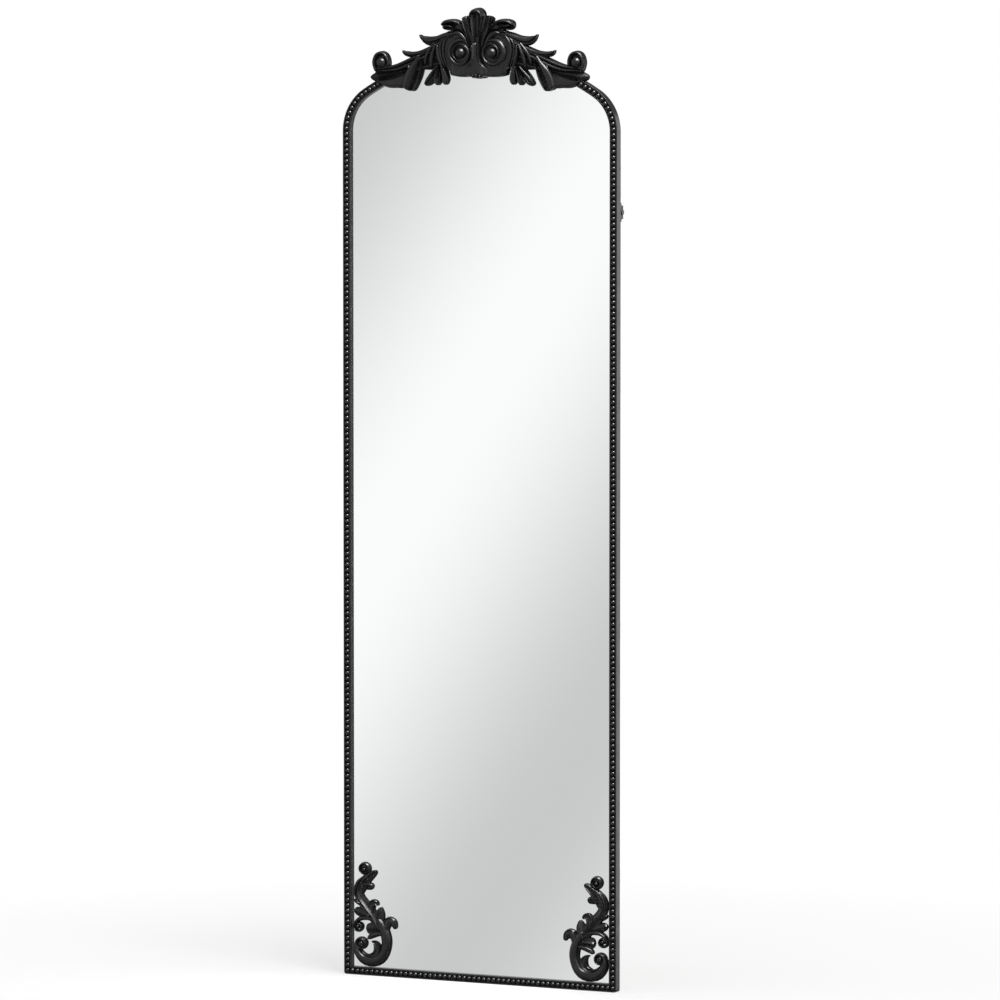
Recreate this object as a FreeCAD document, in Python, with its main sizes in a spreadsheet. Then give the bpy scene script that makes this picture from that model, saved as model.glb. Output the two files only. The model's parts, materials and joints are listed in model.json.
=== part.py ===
import FreeCAD, Part
import math
import operator
import os

import Sketcher
from FreeCAD import Placement, Rotation, Vector

# Arched floor mirror with a beaded black frame, a carved crest, two carved bottom corners
# and a folding stand behind it. Millimetres, Z up, the front faces -Y, and the origin lies on
# the floor under the middle of the bottom rail.

doc = FreeCAD.newDocument("floor_mirror")
sheet = doc.addObject("Spreadsheet::Sheet", "Sizes")
ALIASES = []
NODES = []


class Dim:
    """A size with its number and the formula behind it."""

    def __init__(self, value, text):
        self.value = float(value)
        self.text = text

    def __add__(self, other):
        return combine(self, "+", other)

    def __radd__(self, other):
        return combine(other, "+", self)

    def __sub__(self, other):
        return combine(self, "-", other)

    def __rsub__(self, other):
        return combine(other, "-", self)

    def __mul__(self, other):
        return combine(self, "*", other)

    def __rmul__(self, other):
        return combine(other, "*", self)

    def __truediv__(self, other):
        return combine(self, "/", other)

    def __neg__(self):
        return combine(0, "-", self)


SIGNS = {"+": operator.add, "-": operator.sub, "*": operator.mul, "/": operator.truediv}


def as_dim(item):
    return item if isinstance(item, Dim) else Dim(item, repr(item))


def combine(left, sign, right):
    left = as_dim(left)
    right = as_dim(right)
    return Dim(SIGNS[sign](left.value, right.value), f"({left.text} {sign} {right.text})")


def root(item):
    return Dim(math.sqrt(item.value), f"sqrt({item.text})")


def size(alias, value, note):
    """Keep one driving size in the sheet and return it."""
    row = len(ALIASES) + 1
    ALIASES.append(alias)
    sheet.set(f"A{row}", note)
    sheet.set(f"B{row}", str(value))
    sheet.setAlias(f"B{row}", alias)
    sheet.recompute()
    return Dim(sheet.get(alias), "Sizes." + alias)


def bind(item, name, dim):
    item.setExpression(name, as_dim(dim).text)


# Frame outline
frame_width = size("frame_width", 500, "outer width of the frame")
shoulder_height = size("shoulder_height", 1398, "height of the straight stiles")
shoulder_radius = size("shoulder_radius", 80, "outer radius of each shoulder")
arch_radius = size("arch_radius", 400, "outer radius of the arch over the shoulders")

# Moulding section
frame_depth = size("frame_depth", 16, "front to back depth of the moulding")
face_width = size("face_width", 13.5, "width of the moulding face")
rim_width = size("rim_width", 2.4, "outer rim beside the bead channel")
channel_width = size("channel_width", 8.2, "width of the bead channel")
channel_depth = size("channel_depth", 2, "depth of the bead channel")
sight_chamfer = size("sight_chamfer", 0.8, "bevel of the sight edge")
back_chamfer = size("back_chamfer", 1.5, "bevel of the outer back edge")
lip_depth = size("lip_depth", 6.2, "depth of the lip in front of the glass")
rebate_line = size("rebate_line", 8, "distance of the rebate wall from the outer edge")
tube_wall = size("tube_wall", 1.4, "wall of the hollow moulding")

# Bead strips
bead_pitch = size("bead_pitch", 9, "distance between beads")
bead_radius = size("bead_radius", 3.7, "radius of a bead at its foot")
bead_rise = size("bead_rise", 3.2, "height of a bead above its strip")
strip_thickness = size("strip_thickness", 1, "thickness of a bead strip")
strip_clearance = size("strip_clearance", 0.1, "play of a bead strip in its channel")
strip_end_angle = size("strip_end_angle", 26, "angle from the top where the beads end under the crest")

# Glass and backing
glass_thickness = size("glass_thickness", 4, "thickness of the mirror glass")
glass_clearance = size("glass_clearance", 0.5, "play of glass, foam and board in the rebate")
block_height = size("block_height", 2, "height of the setting blocks under the glass")
block_length = size("block_length", 30, "length of a setting block")
block_place = size("block_place", 125, "setting block distance from the middle")
foam_thickness = size("foam_thickness", 1, "thickness of the foam sheet")

# Joints of the frame
key_length = size("key_length", 40, "reach of a joint key into each moulding")
key_clearance = size("key_clearance", 0.1, "play of a joint key in the chamber")
key_sweep = size("key_sweep", 28, "angle of a splice key round the shoulder")

# Back clips
clip_length = size("clip_length", 26, "length of a board clip")
clip_width = size("clip_width", 14, "width of a board clip")
clip_thickness = size("clip_thickness", 1.2, "thickness of a board clip")
clip_inset = size("clip_inset", 1, "inset of a board clip from the outer edge")
clip_screw_gap = size("clip_screw_gap", 16, "distance between the two screws of a clip")
clip_first = size("clip_first", 190, "height of the lowest side clip")
clip_step = size("clip_step", 400, "distance between side clips")
clip_bottom_place = size("clip_bottom_place", 170, "bottom clip distance from the middle")
screw_line = size("screw_line", 4, "line of the back screws from the outer edge")
small_screw_radius = size("small_screw_radius", 1.4, "shank radius of the small back screws")
small_head_radius = size("small_head_radius", 2.6, "head radius of the small back screws")
small_head_height = size("small_head_height", 1.3, "head height of the small back screws")
small_screw_reach = size("small_screw_reach", 4.5, "reach of the small back screws under the frame back")
screw_clearance = size("screw_clearance", 0.05, "radial play of a screw in its hole")

# Hanger plates
hanger_drop = size("hanger_drop", 80, "hanger plates under the shoulders")
hanger_height = shoulder_height - hanger_drop
hanger_length = size("hanger_length", 50, "length of a hanger plate")
hanger_width = size("hanger_width", 22, "width of a hanger plate")
hanger_thickness = size("hanger_thickness", 1.5, "thickness of a hanger plate")
keyhole_line = size("keyhole_line", 16, "keyhole distance from the outer edge")
keyhole_radius = size("keyhole_radius", 4.5, "radius of the keyhole")
keyhole_slot = size("keyhole_slot", 4.2, "width of the keyhole slot")
keyhole_rise = size("keyhole_rise", 11, "length of the keyhole slot")
keyhole_pocket = size("keyhole_pocket", 4, "depth of the board pocket behind a keyhole")
pocket_margin = size("pocket_margin", 2.5, "room round the keyhole in the board pocket")
hanger_screw_gap = size("hanger_screw_gap", 38, "distance between the screws of a hanger plate")

# Stand hinge
pivot_drop = size("pivot_drop", 50.3, "stand hinge under the hanger plates")
pivot_height = hanger_height - pivot_drop
bracket_inset = size("bracket_inset", 2.5, "inset of the bracket ear from the frame side")
ear_thickness = size("ear_thickness", 6, "thickness of the bracket ear")
ear_height = size("ear_height", 13, "rise of the bracket ear behind the frame")
ear_foot = size("ear_foot", 34, "length of the bracket ear at its foot")
ear_top = size("ear_top", 25, "length of the bracket ear at its top")
flange_thickness = size("flange_thickness", 2, "thickness of the bracket stop flange")
flange_width = size("flange_width", 13, "width of the bracket stop flange")
bracket_screw_gap = size("bracket_screw_gap", 25, "distance between the bracket screws")
bracket_screw_line = size("bracket_screw_line", 4.8, "line of the bracket screws from the outer edge")
bracket_seat = size("bracket_seat", 5, "ear material under a bracket screw head")
nut_plate_thickness = size("nut_plate_thickness", 3, "thickness of the plate the bracket screws bite")
nut_plate_length = size("nut_plate_length", 38, "length of that plate")
bolt_radius = size("bolt_radius", 2.5, "radius of the pivot bolt")
bolt_head_radius = size("bolt_head_radius", 4, "radius of the pivot bolt head")
bolt_head_height = size("bolt_head_height", 2, "height of the pivot bolt head")
bolt_clearance = size("bolt_clearance", 0.05, "radial play of the knuckle on the pivot bolt")
washer_radius = size("washer_radius", 4.8, "outer radius of the pivot washer")
washer_thickness = size("washer_thickness", 0.8, "thickness of the pivot washer")
nut_radius = size("nut_radius", 4.6, "corner radius of the pivot nut")
nut_height = size("nut_height", 4, "height of the pivot nut")
hinge_gap = size("hinge_gap", 0.3, "side play of the knuckle")

# Folding stand
stand_tube_radius = size("stand_tube_radius", 5, "outer radius of the stand tube")
stand_tube_wall = size("stand_tube_wall", 1.2, "wall of the stand tube")
stand_bend = size("stand_bend", 40, "bend radius of the stand tube")
stand_gap = size("stand_gap", 1.5, "gap between the folded stand and the bracket flange")
stand_angle = size("stand_angle", 17, "opening angle of the stand")
stop_gap = size("stop_gap", 0.1, "gap left at the stop when the stand is open")
knuckle_drop = size("knuckle_drop", 12, "length of the knuckle under the pivot")
spigot_length = size("spigot_length", 25, "length of the knuckle spigot in the tube")
spigot_clearance = size("spigot_clearance", 0.03, "radial play of the spigot")
sleeve_length = size("sleeve_length", 60, "length of a rubber foot sleeve")
sleeve_wall = size("sleeve_wall", 2, "wall of a rubber foot sleeve")
# The rubber sleeves of the folded stand touch the floor behind the bottom rail.
stand_bar_height = stand_tube_radius + sleeve_wall
sleeve_place = size("sleeve_place", 120, "foot sleeve distance from the middle")
bumper_radius = size("bumper_radius", 4, "radius of a bumper")
bumper_gap = size("bumper_gap", 0.3, "gap between a bumper and the folded leg")
bumper_low = size("bumper_low", 330, "height of the lower bumpers")
bumper_high = size("bumper_high", 860, "height of the upper bumpers")

# Carved pieces
crest_width = size("crest_width", 404, "width of the crest")
crest_height = size("crest_height", 135, "height of the crest")
crest_drop = size("crest_drop", 63, "reach of the crest under the top of the arch")
crest_relief = size("crest_relief", 22, "greatest thickness of the crest")
crest_glass_gap = size("crest_glass_gap", 0.6, "gap between the crest and the glass")
crest_fit = size("crest_fit", 0.3, "play of the crest round the arch")
crest_screw_radius = size("crest_screw_radius", 2, "radius of a crest screw")
crest_screw_bite = size("crest_screw_bite", 3.5, "reach of a crest screw into the crest")
crest_head_radius = size("crest_head_radius", 3.4, "head radius of a crest screw")
crest_head_height = size("crest_head_height", 2, "head height of a crest screw")
crest_screw_inner = size("crest_screw_inner", 50, "inner crest screw distance from the middle")
crest_screw_outer = size("crest_screw_outer", 125, "outer crest screw distance from the middle")
corner_width = size("corner_width", 84, "width of a corner carving")
corner_height = size("corner_height", 176, "height of a corner carving")
corner_relief = size("corner_relief", 8.5, "greatest thickness of a corner carving")
corner_gap = size("corner_gap", 0.3, "gap between a corner carving and the moulding")
pad_thickness = size("pad_thickness", 0.5, "thickness of the adhesive pads under the corner carvings")
pad_radius = size("pad_radius", 4, "radius of an adhesive pad")

# Places that follow from the sizes
half_width = frame_width / 2
front = -frame_depth / 2
back = frame_depth / 2
glass_front = front + lip_depth
glass_back = glass_front + glass_thickness
foam_back = glass_back + foam_thickness
glass_inset = rebate_line + glass_clearance
glass_bottom = rebate_line + block_height
bead_line = rim_width + channel_width / 2
strip_face = front + channel_depth - strip_thickness
shoulder_place = half_width - shoulder_radius
radius_step = arch_radius - shoulder_radius
arch_rise = root(radius_step * radius_step - shoulder_place * shoulder_place)
arch_centre = shoulder_height - arch_rise
arch_top = arch_centre + arch_radius
arch_half_angle = Dim(
    math.degrees(math.asin(shoulder_place.value / radius_step.value)),
    f"asin({(shoulder_place / radius_step).text})",
)
shoulder_angle = Dim(90 - arch_half_angle.value, f"(90 deg - {arch_half_angle.text})")
ear_outside = half_width - bracket_inset
ear_inside = ear_outside - ear_thickness
pivot_depth = back + flange_thickness + stand_gap + stand_tube_radius
knuckle_outside = ear_inside - washer_thickness - hinge_gap
knuckle_inside = knuckle_outside - 2 * stand_tube_radius
leg_place = knuckle_outside - stand_tube_radius
leg_top = pivot_height - knuckle_drop


def origin_plane(body, role):
    return next(item for item in body.Origin.OriginFeatures if item.Role == role)


def new_body(label):
    body = doc.addObject("PartDesign::Body", label)
    body.Label = label
    return body


def sketch_on(body, role, name, offset=None):
    """Start a sketch on one of the body's own planes, moved along that plane's normal."""
    sketch = body.newObject("Sketcher::SketchObject", name)
    sketch.AttachmentSupport = [(origin_plane(body, role), "")]
    sketch.MapMode = "FlatFace"
    if offset is not None:
        bind(sketch, "AttachmentOffset.Base.z", offset)
    return sketch


def measure(sketch, kind, geometry, position, dim):
    """Hold one coordinate of a point at its size."""
    dim = as_dim(dim)
    number = sketch.addConstraint(Sketcher.Constraint(kind, -1, 1, geometry, position, dim.value))
    sketch.setExpression(f"Constraints[{number}]", dim.text)


def pin(sketch, geometry, position, across, up):
    measure(sketch, "DistanceX", geometry, position, across)
    measure(sketch, "DistanceY", geometry, position, up)


def polygon(sketch, points):
    """Draw a closed outline whose corners are all held by sizes."""
    first = sketch.GeometryCount
    points = [(as_dim(across), as_dim(up)) for across, up in points]
    count = len(points)
    for index, (across, up) in enumerate(points):
        ahead, above = points[(index + 1) % count]
        start = Vector(across.value, up.value, 0)
        end = Vector(ahead.value, above.value, 0)
        sketch.addGeometry(Part.LineSegment(start, end), False)
    for index in range(count):
        following = first + (index + 1) % count
        sketch.addConstraint(Sketcher.Constraint("Coincident", first + index, 2, following, 1))
    for index, (across, up) in enumerate(points):
        pin(sketch, first + index, 1, across, up)


def circle(sketch, across, up, radius):
    across, up, radius = as_dim(across), as_dim(up), as_dim(radius)
    centre = Vector(across.value, up.value, 0)
    index = sketch.addGeometry(Part.Circle(centre, Vector(0, 0, 1), radius.value), False)
    number = sketch.addConstraint(Sketcher.Constraint("Radius", index, radius.value))
    sketch.setExpression(f"Constraints[{number}]", radius.text)
    pin(sketch, index, 3, across, up)


def axis_line(sketch, start, end):
    """Draw the axis a section turns about."""
    points = [Vector(as_dim(across).value, as_dim(up).value, 0) for across, up in (start, end)]
    index = sketch.addGeometry(Part.LineSegment(*points), True)
    pin(sketch, index, 1, *start)
    pin(sketch, index, 2, *end)


def pad(body, sketch, length, name):
    feature = body.newObject("PartDesign::Pad", name)
    feature.Profile = sketch
    bind(feature, "Length", length)
    sketch.Visibility = False
    return feature


def pocket(body, sketch, length, name, reverse=False):
    feature = body.newObject("PartDesign::Pocket", name)
    feature.Profile = sketch
    feature.Reversed = reverse
    bind(feature, "Length", length)
    return feature


def revolve(body, sketch, angle, name, reverse=False):
    feature = body.newObject("PartDesign::Revolution", name)
    feature.Profile = sketch
    feature.ReferenceAxis = (sketch, ["Axis0"])
    feature.Reversed = reverse
    bind(feature, "Angle", angle)
    return feature


def keep(item, label=None):
    """Hand a finished piece in under its own name."""
    if label:
        item.Label = label
    NODES.append(item)
    return item


def mirrored(item, label):
    """The same piece on the other side of the middle plane."""
    copy = doc.addObject("Part::Mirroring", label)
    copy.Source = item
    copy.Normal = Vector(1, 0, 0)
    return keep(copy, label)


def box(name, along_x, along_y, along_z, x, y, z):
    item = doc.addObject("Part::Box", name)
    for prop, dim in (("Length", along_x), ("Width", along_y), ("Height", along_z)):
        bind(item, prop, dim)
    place(item, x, y, z)
    return item


def place(item, x, y, z):
    for prop, dim in (("x", x), ("y", y), ("z", z)):
        bind(item, "Placement.Base." + prop, dim)


ALONG_Y = Rotation(Vector(1, 0, 0), -90)
ALONG_X = Rotation(Vector(0, 1, 0), 90)


def rod(name, radius, length, x, y, z, turn):
    """A round bar that starts at a point and runs along X or Y."""
    item = doc.addObject("Part::Cylinder", name)
    bind(item, "Radius", radius)
    bind(item, "Height", length)
    item.Placement = Placement(Vector(), turn)
    place(item, x, y, z)
    return item


def cut(name, base, tool):
    item = doc.addObject("Part::Cut", name)
    item.Base = base
    item.Tool = tool
    return item


def fuse(name, base, tool):
    item = doc.addObject("Part::Fuse", name)
    item.Base = base
    item.Tool = tool
    return item


def group(name, items):
    item = doc.addObject("Part::Compound", name)
    item.Links = items
    return item


def moulding_section(sketch, spot):
    """Draw the hollow moulding; spot turns (distance from the outer edge, depth) into the sketch."""
    channel_inside = rim_width + channel_width
    outline = [
        (0 * rim_width, front),
        (rim_width, front),
        (rim_width, front + channel_depth),
        (channel_inside, front + channel_depth),
        (channel_inside, front),
        (face_width - sight_chamfer, front),
        (face_width, front + sight_chamfer),
        (face_width, glass_front),
        (rebate_line, glass_front),
        (rebate_line, back),
        (back_chamfer, back),
        (0 * rim_width, back - back_chamfer),
    ]
    polygon(sketch, [spot(*point) for point in outline])
    chamber = [
        (tube_wall, front + channel_depth + tube_wall),
        (rebate_line - tube_wall, front + channel_depth + tube_wall),
        (rebate_line - tube_wall, back - tube_wall),
        (tube_wall, back - tube_wall),
    ]
    polygon(sketch, [spot(*point) for point in chamber])


def key_section(sketch, spot):
    """Draw the block that fills the moulding's chamber."""
    low = front + channel_depth + tube_wall + key_clearance
    high = back - tube_wall - key_clearance
    near = tube_wall + key_clearance
    far = rebate_line - tube_wall - key_clearance
    polygon(sketch, [spot(near, low), spot(far, low), spot(far, high), spot(near, high)])


def right_side(inset, depth):
    return half_width - inset, depth


def under_arch(inset, depth):
    return depth, arch_top - inset


def on_rail(inset, depth):
    return depth, inset


SIDE_CLIPS = [clip_first + step * clip_step for step in range(3)]


def side_screw_places():
    """Distance from the edge and height of every small screw in the back of a stile."""
    places = []
    for height in SIDE_CLIPS:
        places += [(screw_line, height - clip_screw_gap / 2), (screw_line, height + clip_screw_gap / 2)]
    for side in (-1, 1):
        places.append((screw_line, hanger_height + side * hanger_screw_gap / 2))
    places.append((screw_line, key_length - 2 * tube_wall))
    places.append((screw_line, shoulder_height - key_length / 2))
    return places


def back_holes(body, name, places, radius):
    """Drill the back wall of a moulding."""
    sketch = sketch_on(body, "XZ_Plane", name + "_plan", -back)
    for across, up in places:
        circle(sketch, across, up, radius + screw_clearance)
    return pocket(body, sketch, small_screw_reach, name, reverse=True)


def make_stile():
    body = new_body("right_stile")
    section = sketch_on(body, "XY_Plane", "stile_section")
    moulding_section(section, right_side)
    pad(body, section, shoulder_height, "stile_length")
    mitre = sketch_on(body, "XZ_Plane", "stile_mitre", frame_depth)
    reach = 2 * face_width
    polygon(mitre, [(half_width, 0 * reach), (half_width - reach, 0 * reach), (half_width - reach, reach)])
    pocket(body, mitre, 2 * frame_depth, "stile_mitre_cut")
    places = [(half_width - inset, height) for inset, height in side_screw_places()]
    back_holes(body, "stile_screw_holes", places, small_screw_radius)
    bracket_places = [
        (half_width - bracket_screw_line, pivot_height + side * bracket_screw_gap / 2) for side in (-1, 1)
    ]
    back_holes(body, "stile_bracket_holes", bracket_places, small_screw_radius)
    keep(body)
    mirrored(body, "left_stile")


def make_bottom_rail():
    body = new_body("bottom_rail")
    section = sketch_on(body, "YZ_Plane", "rail_section", -half_width)
    moulding_section(section, on_rail)
    pad(body, section, frame_width, "rail_length")
    mitre = sketch_on(body, "XZ_Plane", "rail_mitre", frame_depth)
    reach = 2 * face_width
    for side in (-1, 1):
        outer = side * half_width
        polygon(mitre, [(outer, 0 * reach), (outer, reach), (outer - side * reach, reach)])
    pocket(body, mitre, 2 * frame_depth, "rail_mitre_cut")
    places = []
    for side in (-1, 1):
        for step in (-1, 1):
            places.append((side * clip_bottom_place + step * clip_screw_gap / 2, screw_line))
        places.append((side * (half_width - key_length + 2 * tube_wall), screw_line))
    back_holes(body, "rail_screw_holes", places, small_screw_radius)
    keep(body)


def crest_screw_places():
    """Places on the middle of the arch moulding where the crest is screwed on."""
    line = arch_radius - screw_line
    places = []
    for across in (crest_screw_inner, crest_screw_outer):
        up = arch_centre + root(line * line - across * across)
        places += [(across, up), (-across, up)]
    return places


def shoulder_screw_place():
    """Screw of the splice key, half way along its turn round the shoulder."""
    turn = math.radians(key_sweep.value / 2)
    line = shoulder_radius - screw_line
    half_turn = f"({key_sweep.text} / 2 * 1 deg)"
    across = shoulder_place + line * Dim(math.cos(turn), f"cos({half_turn})")
    up = shoulder_height + line * Dim(math.sin(turn), f"sin({half_turn})")
    return across, up


def top_clip_places():
    return [(step * clip_screw_gap / 2, arch_top - screw_line) for step in (-1, 1)]


def make_arch():
    body = new_body("top_arch")
    shoulder = sketch_on(body, "XY_Plane", "shoulder_section", shoulder_height)
    moulding_section(shoulder, right_side)
    axis_line(shoulder, (shoulder_place, front), (shoulder_place, back))
    turn = revolve(body, shoulder, shoulder_angle, "shoulder_turn", reverse=True)
    crown = sketch_on(body, "YZ_Plane", "crown_section")
    moulding_section(crown, under_arch)
    axis_line(crown, (front, arch_centre), (back, arch_centre))
    sweep = revolve(body, crown, arch_half_angle, "crown_turn")
    other = body.newObject("PartDesign::Mirrored", "left_half")
    other.Originals = [turn, sweep]
    other.MirrorPlane = (origin_plane(body, "YZ_Plane"), [""])
    body.Tip = other
    doc.recompute()
    across, up = shoulder_screw_place()
    small = [(across, up), (-across, up)] + top_clip_places()
    back_holes(body, "arch_screw_holes", small, small_screw_radius)
    through = sketch_on(body, "XZ_Plane", "crest_screw_plan", frame_depth)
    for across, up in crest_screw_places():
        circle(through, across, up, crest_screw_radius + screw_clearance)
    pocket(body, through, 2 * frame_depth, "crest_screw_holes")
    keep(body)


def make_corner_key():
    body = new_body("corner_key_right")
    upright = sketch_on(body, "XY_Plane", "upright_section", tube_wall + key_clearance)
    key_section(upright, right_side)
    pad(body, upright, key_length, "upright_arm")
    flat = sketch_on(body, "YZ_Plane", "flat_section", half_width - tube_wall - key_clearance - key_length)
    key_section(flat, on_rail)
    pad(body, flat, key_length, "flat_arm")
    reach = key_length - 2 * tube_wall
    places = [(half_width - screw_line, reach), (half_width - reach, screw_line)]
    back_holes(body, "corner_key_holes", places, small_screw_radius)
    keep(body)
    mirrored(body, "corner_key_left")


def make_splice_key():
    body = new_body("splice_key_right")
    straight = sketch_on(body, "XY_Plane", "straight_section", shoulder_height - key_length)
    key_section(straight, right_side)
    pad(body, straight, key_length, "straight_arm")
    curved = sketch_on(body, "XY_Plane", "curved_section", shoulder_height)
    key_section(curved, right_side)
    axis_line(curved, (shoulder_place, front), (shoulder_place, back))
    revolve(body, curved, key_sweep, "curved_arm", reverse=True)
    across, up = shoulder_screw_place()
    places = [(half_width - screw_line, shoulder_height - key_length / 2), (across, up)]
    back_holes(body, "splice_key_holes", places, small_screw_radius)
    keep(body)
    mirrored(body, "splice_key_left")


def dome(middle, foot, rise):
    """A round cap that stands on a flat foot and faces the front."""
    sphere = (foot * foot + rise * rise) / (2 * rise)
    latitude = math.degrees(math.asin((sphere - rise) / sphere))
    return Part.makeSphere(sphere, middle + Vector(0, sphere - rise, 0), Vector(0, -1, 0), latitude, 90, 360)


def bead(centre):
    foot = Vector(centre.x, strip_face.value, centre.z)
    return dome(foot, bead_radius.value, bead_rise.value)


def beaded(label, strip, centres):
    """Join a strip with its row of beads."""
    item = doc.addObject("Part::Feature", label)
    item.Shape = strip.multiFuse([bead(centre) for centre in centres]).removeSplitter()
    return keep(item, label)


def strip_box(start_x, end_x, start_z, end_z):
    corner = Vector(start_x, strip_face.value, start_z)
    return Part.makeBox(end_x - start_x, strip_thickness.value, end_z - start_z, corner)


def side_bead_count():
    return int((shoulder_height.value - bead_line.value) / bead_pitch.value) + 1


def make_bead_strips():
    edge = rim_width.value + strip_clearance.value
    inside = rim_width.value + channel_width.value - strip_clearance.value
    half = half_width.value
    line = bead_line.value
    pitch = bead_pitch.value
    count = side_bead_count()
    end = line + (count - 0.5) * pitch
    strip = strip_box(half - inside, half - edge, edge, min(end, shoulder_height.value))
    centres = [Vector(half - line, 0, line + number * pitch) for number in range(count)]
    side = beaded("beading_right", strip, centres)
    mirrored(side, "beading_left")
    reach = half - rim_width.value - channel_width.value - strip_clearance.value
    steps = round((half - line) / pitch)
    gap = (half - line) / steps
    centres = [Vector(number * gap, 0, line) for number in range(1 - steps, steps)]
    beaded("beading_bottom", strip_box(-reach, reach, edge, inside), centres)
    make_shoulder_strip(edge, inside, count)


def ring_part(middle, inner, outer, near, far, start, sweep):
    """A flat curved bar about an axis along the depth, from a start angle through a sweep."""
    corners = [(inner, near), (outer, near), (outer, far), (inner, far)]
    points = [middle + Vector(radius, depth, 0) for radius, depth in corners]
    face = Part.Face(Part.makePolygon(points + points[:1]))
    face.rotate(middle, Vector(0, -1, 0), start)
    return face.revolve(middle, Vector(0, -1, 0), sweep)


def arch_point(along, inset):
    """Point of the frame a distance along the shoulder and arch, seen from the end of the stile."""
    shoulder_line = shoulder_radius.value - inset
    arch_line = arch_radius.value - inset
    turn = math.radians(shoulder_angle.value)
    if along < shoulder_line * turn:
        angle = along / shoulder_line
        middle = Vector(shoulder_place.value, 0, shoulder_height.value)
        return middle + Vector(math.cos(angle), 0, math.sin(angle)) * shoulder_line
    angle = turn + (along - shoulder_line * turn) / arch_line
    middle = Vector(0, 0, arch_centre.value)
    return middle + Vector(math.cos(angle), 0, math.sin(angle)) * arch_line


def make_shoulder_strip(edge, inside, count):
    shoulder = Vector(shoulder_place.value, 0, shoulder_height.value)
    crown = Vector(0, 0, arch_centre.value)
    near = strip_face.value
    far = strip_face.value + strip_thickness.value
    turn = shoulder_angle.value
    first = shoulder_radius.value
    second = arch_radius.value
    rest = arch_half_angle.value - strip_end_angle.value
    strip = ring_part(shoulder, first - inside, first - edge, near, far, 0, turn)
    strip = strip.fuse(ring_part(crown, second - inside, second - edge, near, far, turn, rest))
    line = bead_line.value
    length = (first - line) * math.radians(turn) + (second - line) * math.radians(rest)
    along = line + count * bead_pitch.value - shoulder_height.value
    centres = []
    while along < length - bead_radius.value:
        centres.append(arch_point(along, line))
        along += bead_pitch.value
    side = beaded("beading_shoulder_right", strip, centres)
    mirrored(side, "beading_shoulder_left")


def arched_outline(sketch, inset, bottom):
    """Draw a pane with square bottom corners and the arch of the frame, set in from its edge."""
    side = half_width - inset
    touch = (arch_radius - inset) * shoulder_place / radius_step
    touch_up = arch_centre + (arch_radius - inset) * arch_rise / radius_step
    small = (shoulder_radius - inset).value
    large = (arch_radius - inset).value
    turn = math.radians(shoulder_angle.value)
    spring = shoulder_height.value
    normal = Vector(0, 0, 1)
    right = Part.Circle(Vector(shoulder_place.value, spring, 0), normal, small)
    crown = Part.Circle(Vector(0, arch_centre.value, 0), normal, large)
    left = Part.Circle(Vector(-shoulder_place.value, spring, 0), normal, small)
    corners = [Vector(sign * side.value, bottom.value, 0) for sign in (-1, 1)]
    springs = [Vector(sign * side.value, spring, 0) for sign in (-1, 1)]
    sketch.addGeometry(
        [
            Part.LineSegment(corners[0], corners[1]),
            Part.LineSegment(corners[1], springs[1]),
            Part.ArcOfCircle(right, 0, turn),
            Part.ArcOfCircle(crown, turn, math.pi - turn),
            Part.ArcOfCircle(left, math.pi - turn, math.pi),
            Part.LineSegment(springs[0], corners[0]),
        ],
        False,
    )
    for index in range(6):
        sketch.addConstraint(Sketcher.Constraint("Coincident", index, 2, (index + 1) % 6, 1))
    pin(sketch, 0, 1, -side, bottom)
    pin(sketch, 0, 2, side, bottom)
    pin(sketch, 1, 2, side, shoulder_height)
    pin(sketch, 5, 1, -side, shoulder_height)
    pin(sketch, 3, 1, touch, touch_up)
    pin(sketch, 3, 2, -touch, touch_up)
    measure(sketch, "DistanceY", 3, 3, arch_centre)
    measure(sketch, "DistanceX", 2, 3, shoulder_place)
    measure(sketch, "DistanceX", 4, 3, -shoulder_place)


def make_pane(label, near, far, inset, bottom):
    body = new_body(label)
    outline = sketch_on(body, "XZ_Plane", label + "_outline", -far)
    arched_outline(outline, inset, bottom)
    pad(body, outline, far - near, label + "_thickness")
    return body


def make_panes():
    keep(make_pane("mirror_glass", glass_front, glass_back, glass_inset, glass_bottom))
    keep(make_pane("backing_foam", glass_back, foam_back, glass_inset, glass_bottom))
    board = make_pane("back_board", foam_back, back, glass_inset, glass_bottom)
    room = sketch_on(board, "XZ_Plane", "keyhole_room", -back)
    wide = keyhole_radius + pocket_margin
    for side in (-1, 1):
        across = side * (half_width - keyhole_line)
        low = hanger_height - wide
        high = hanger_height + keyhole_rise + pocket_margin
        corners = [(across - wide, low), (across + wide, low), (across + wide, high), (across - wide, high)]
        polygon(room, corners)
    pocket(board, room, keyhole_pocket, "keyhole_pockets", reverse=True)
    keep(board)
    blocks = []
    for side in (-1, 1):
        start = side * block_place - block_length / 2
        depth = back - glass_front
        place = (start, glass_front, rebate_line)
        blocks.append(box("setting_block", block_length, depth, block_height, *place))
    keep(group("setting_blocks", blocks), "setting_blocks")


def back_screw(across, up, seat):
    """A small pan screw with its head on a seat behind the frame."""
    reach = seat - back + small_screw_reach
    head = rod("screw_head", small_head_radius, small_head_height, across, seat, up, ALONG_Y)
    shank = rod("screw_shank", small_screw_radius, reach, across, seat - reach, up, ALONG_Y)
    return fuse("back_screw", head, shank)


def drilled(name, plate, places, radius, near, thickness):
    """Drill round holes through a plate on the back."""
    for across, up in places:
        drill = rod("drill", radius, thickness + 2, across, near - 1, up, ALONG_Y)
        plate = cut(name, plate, drill)
    return plate


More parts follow.
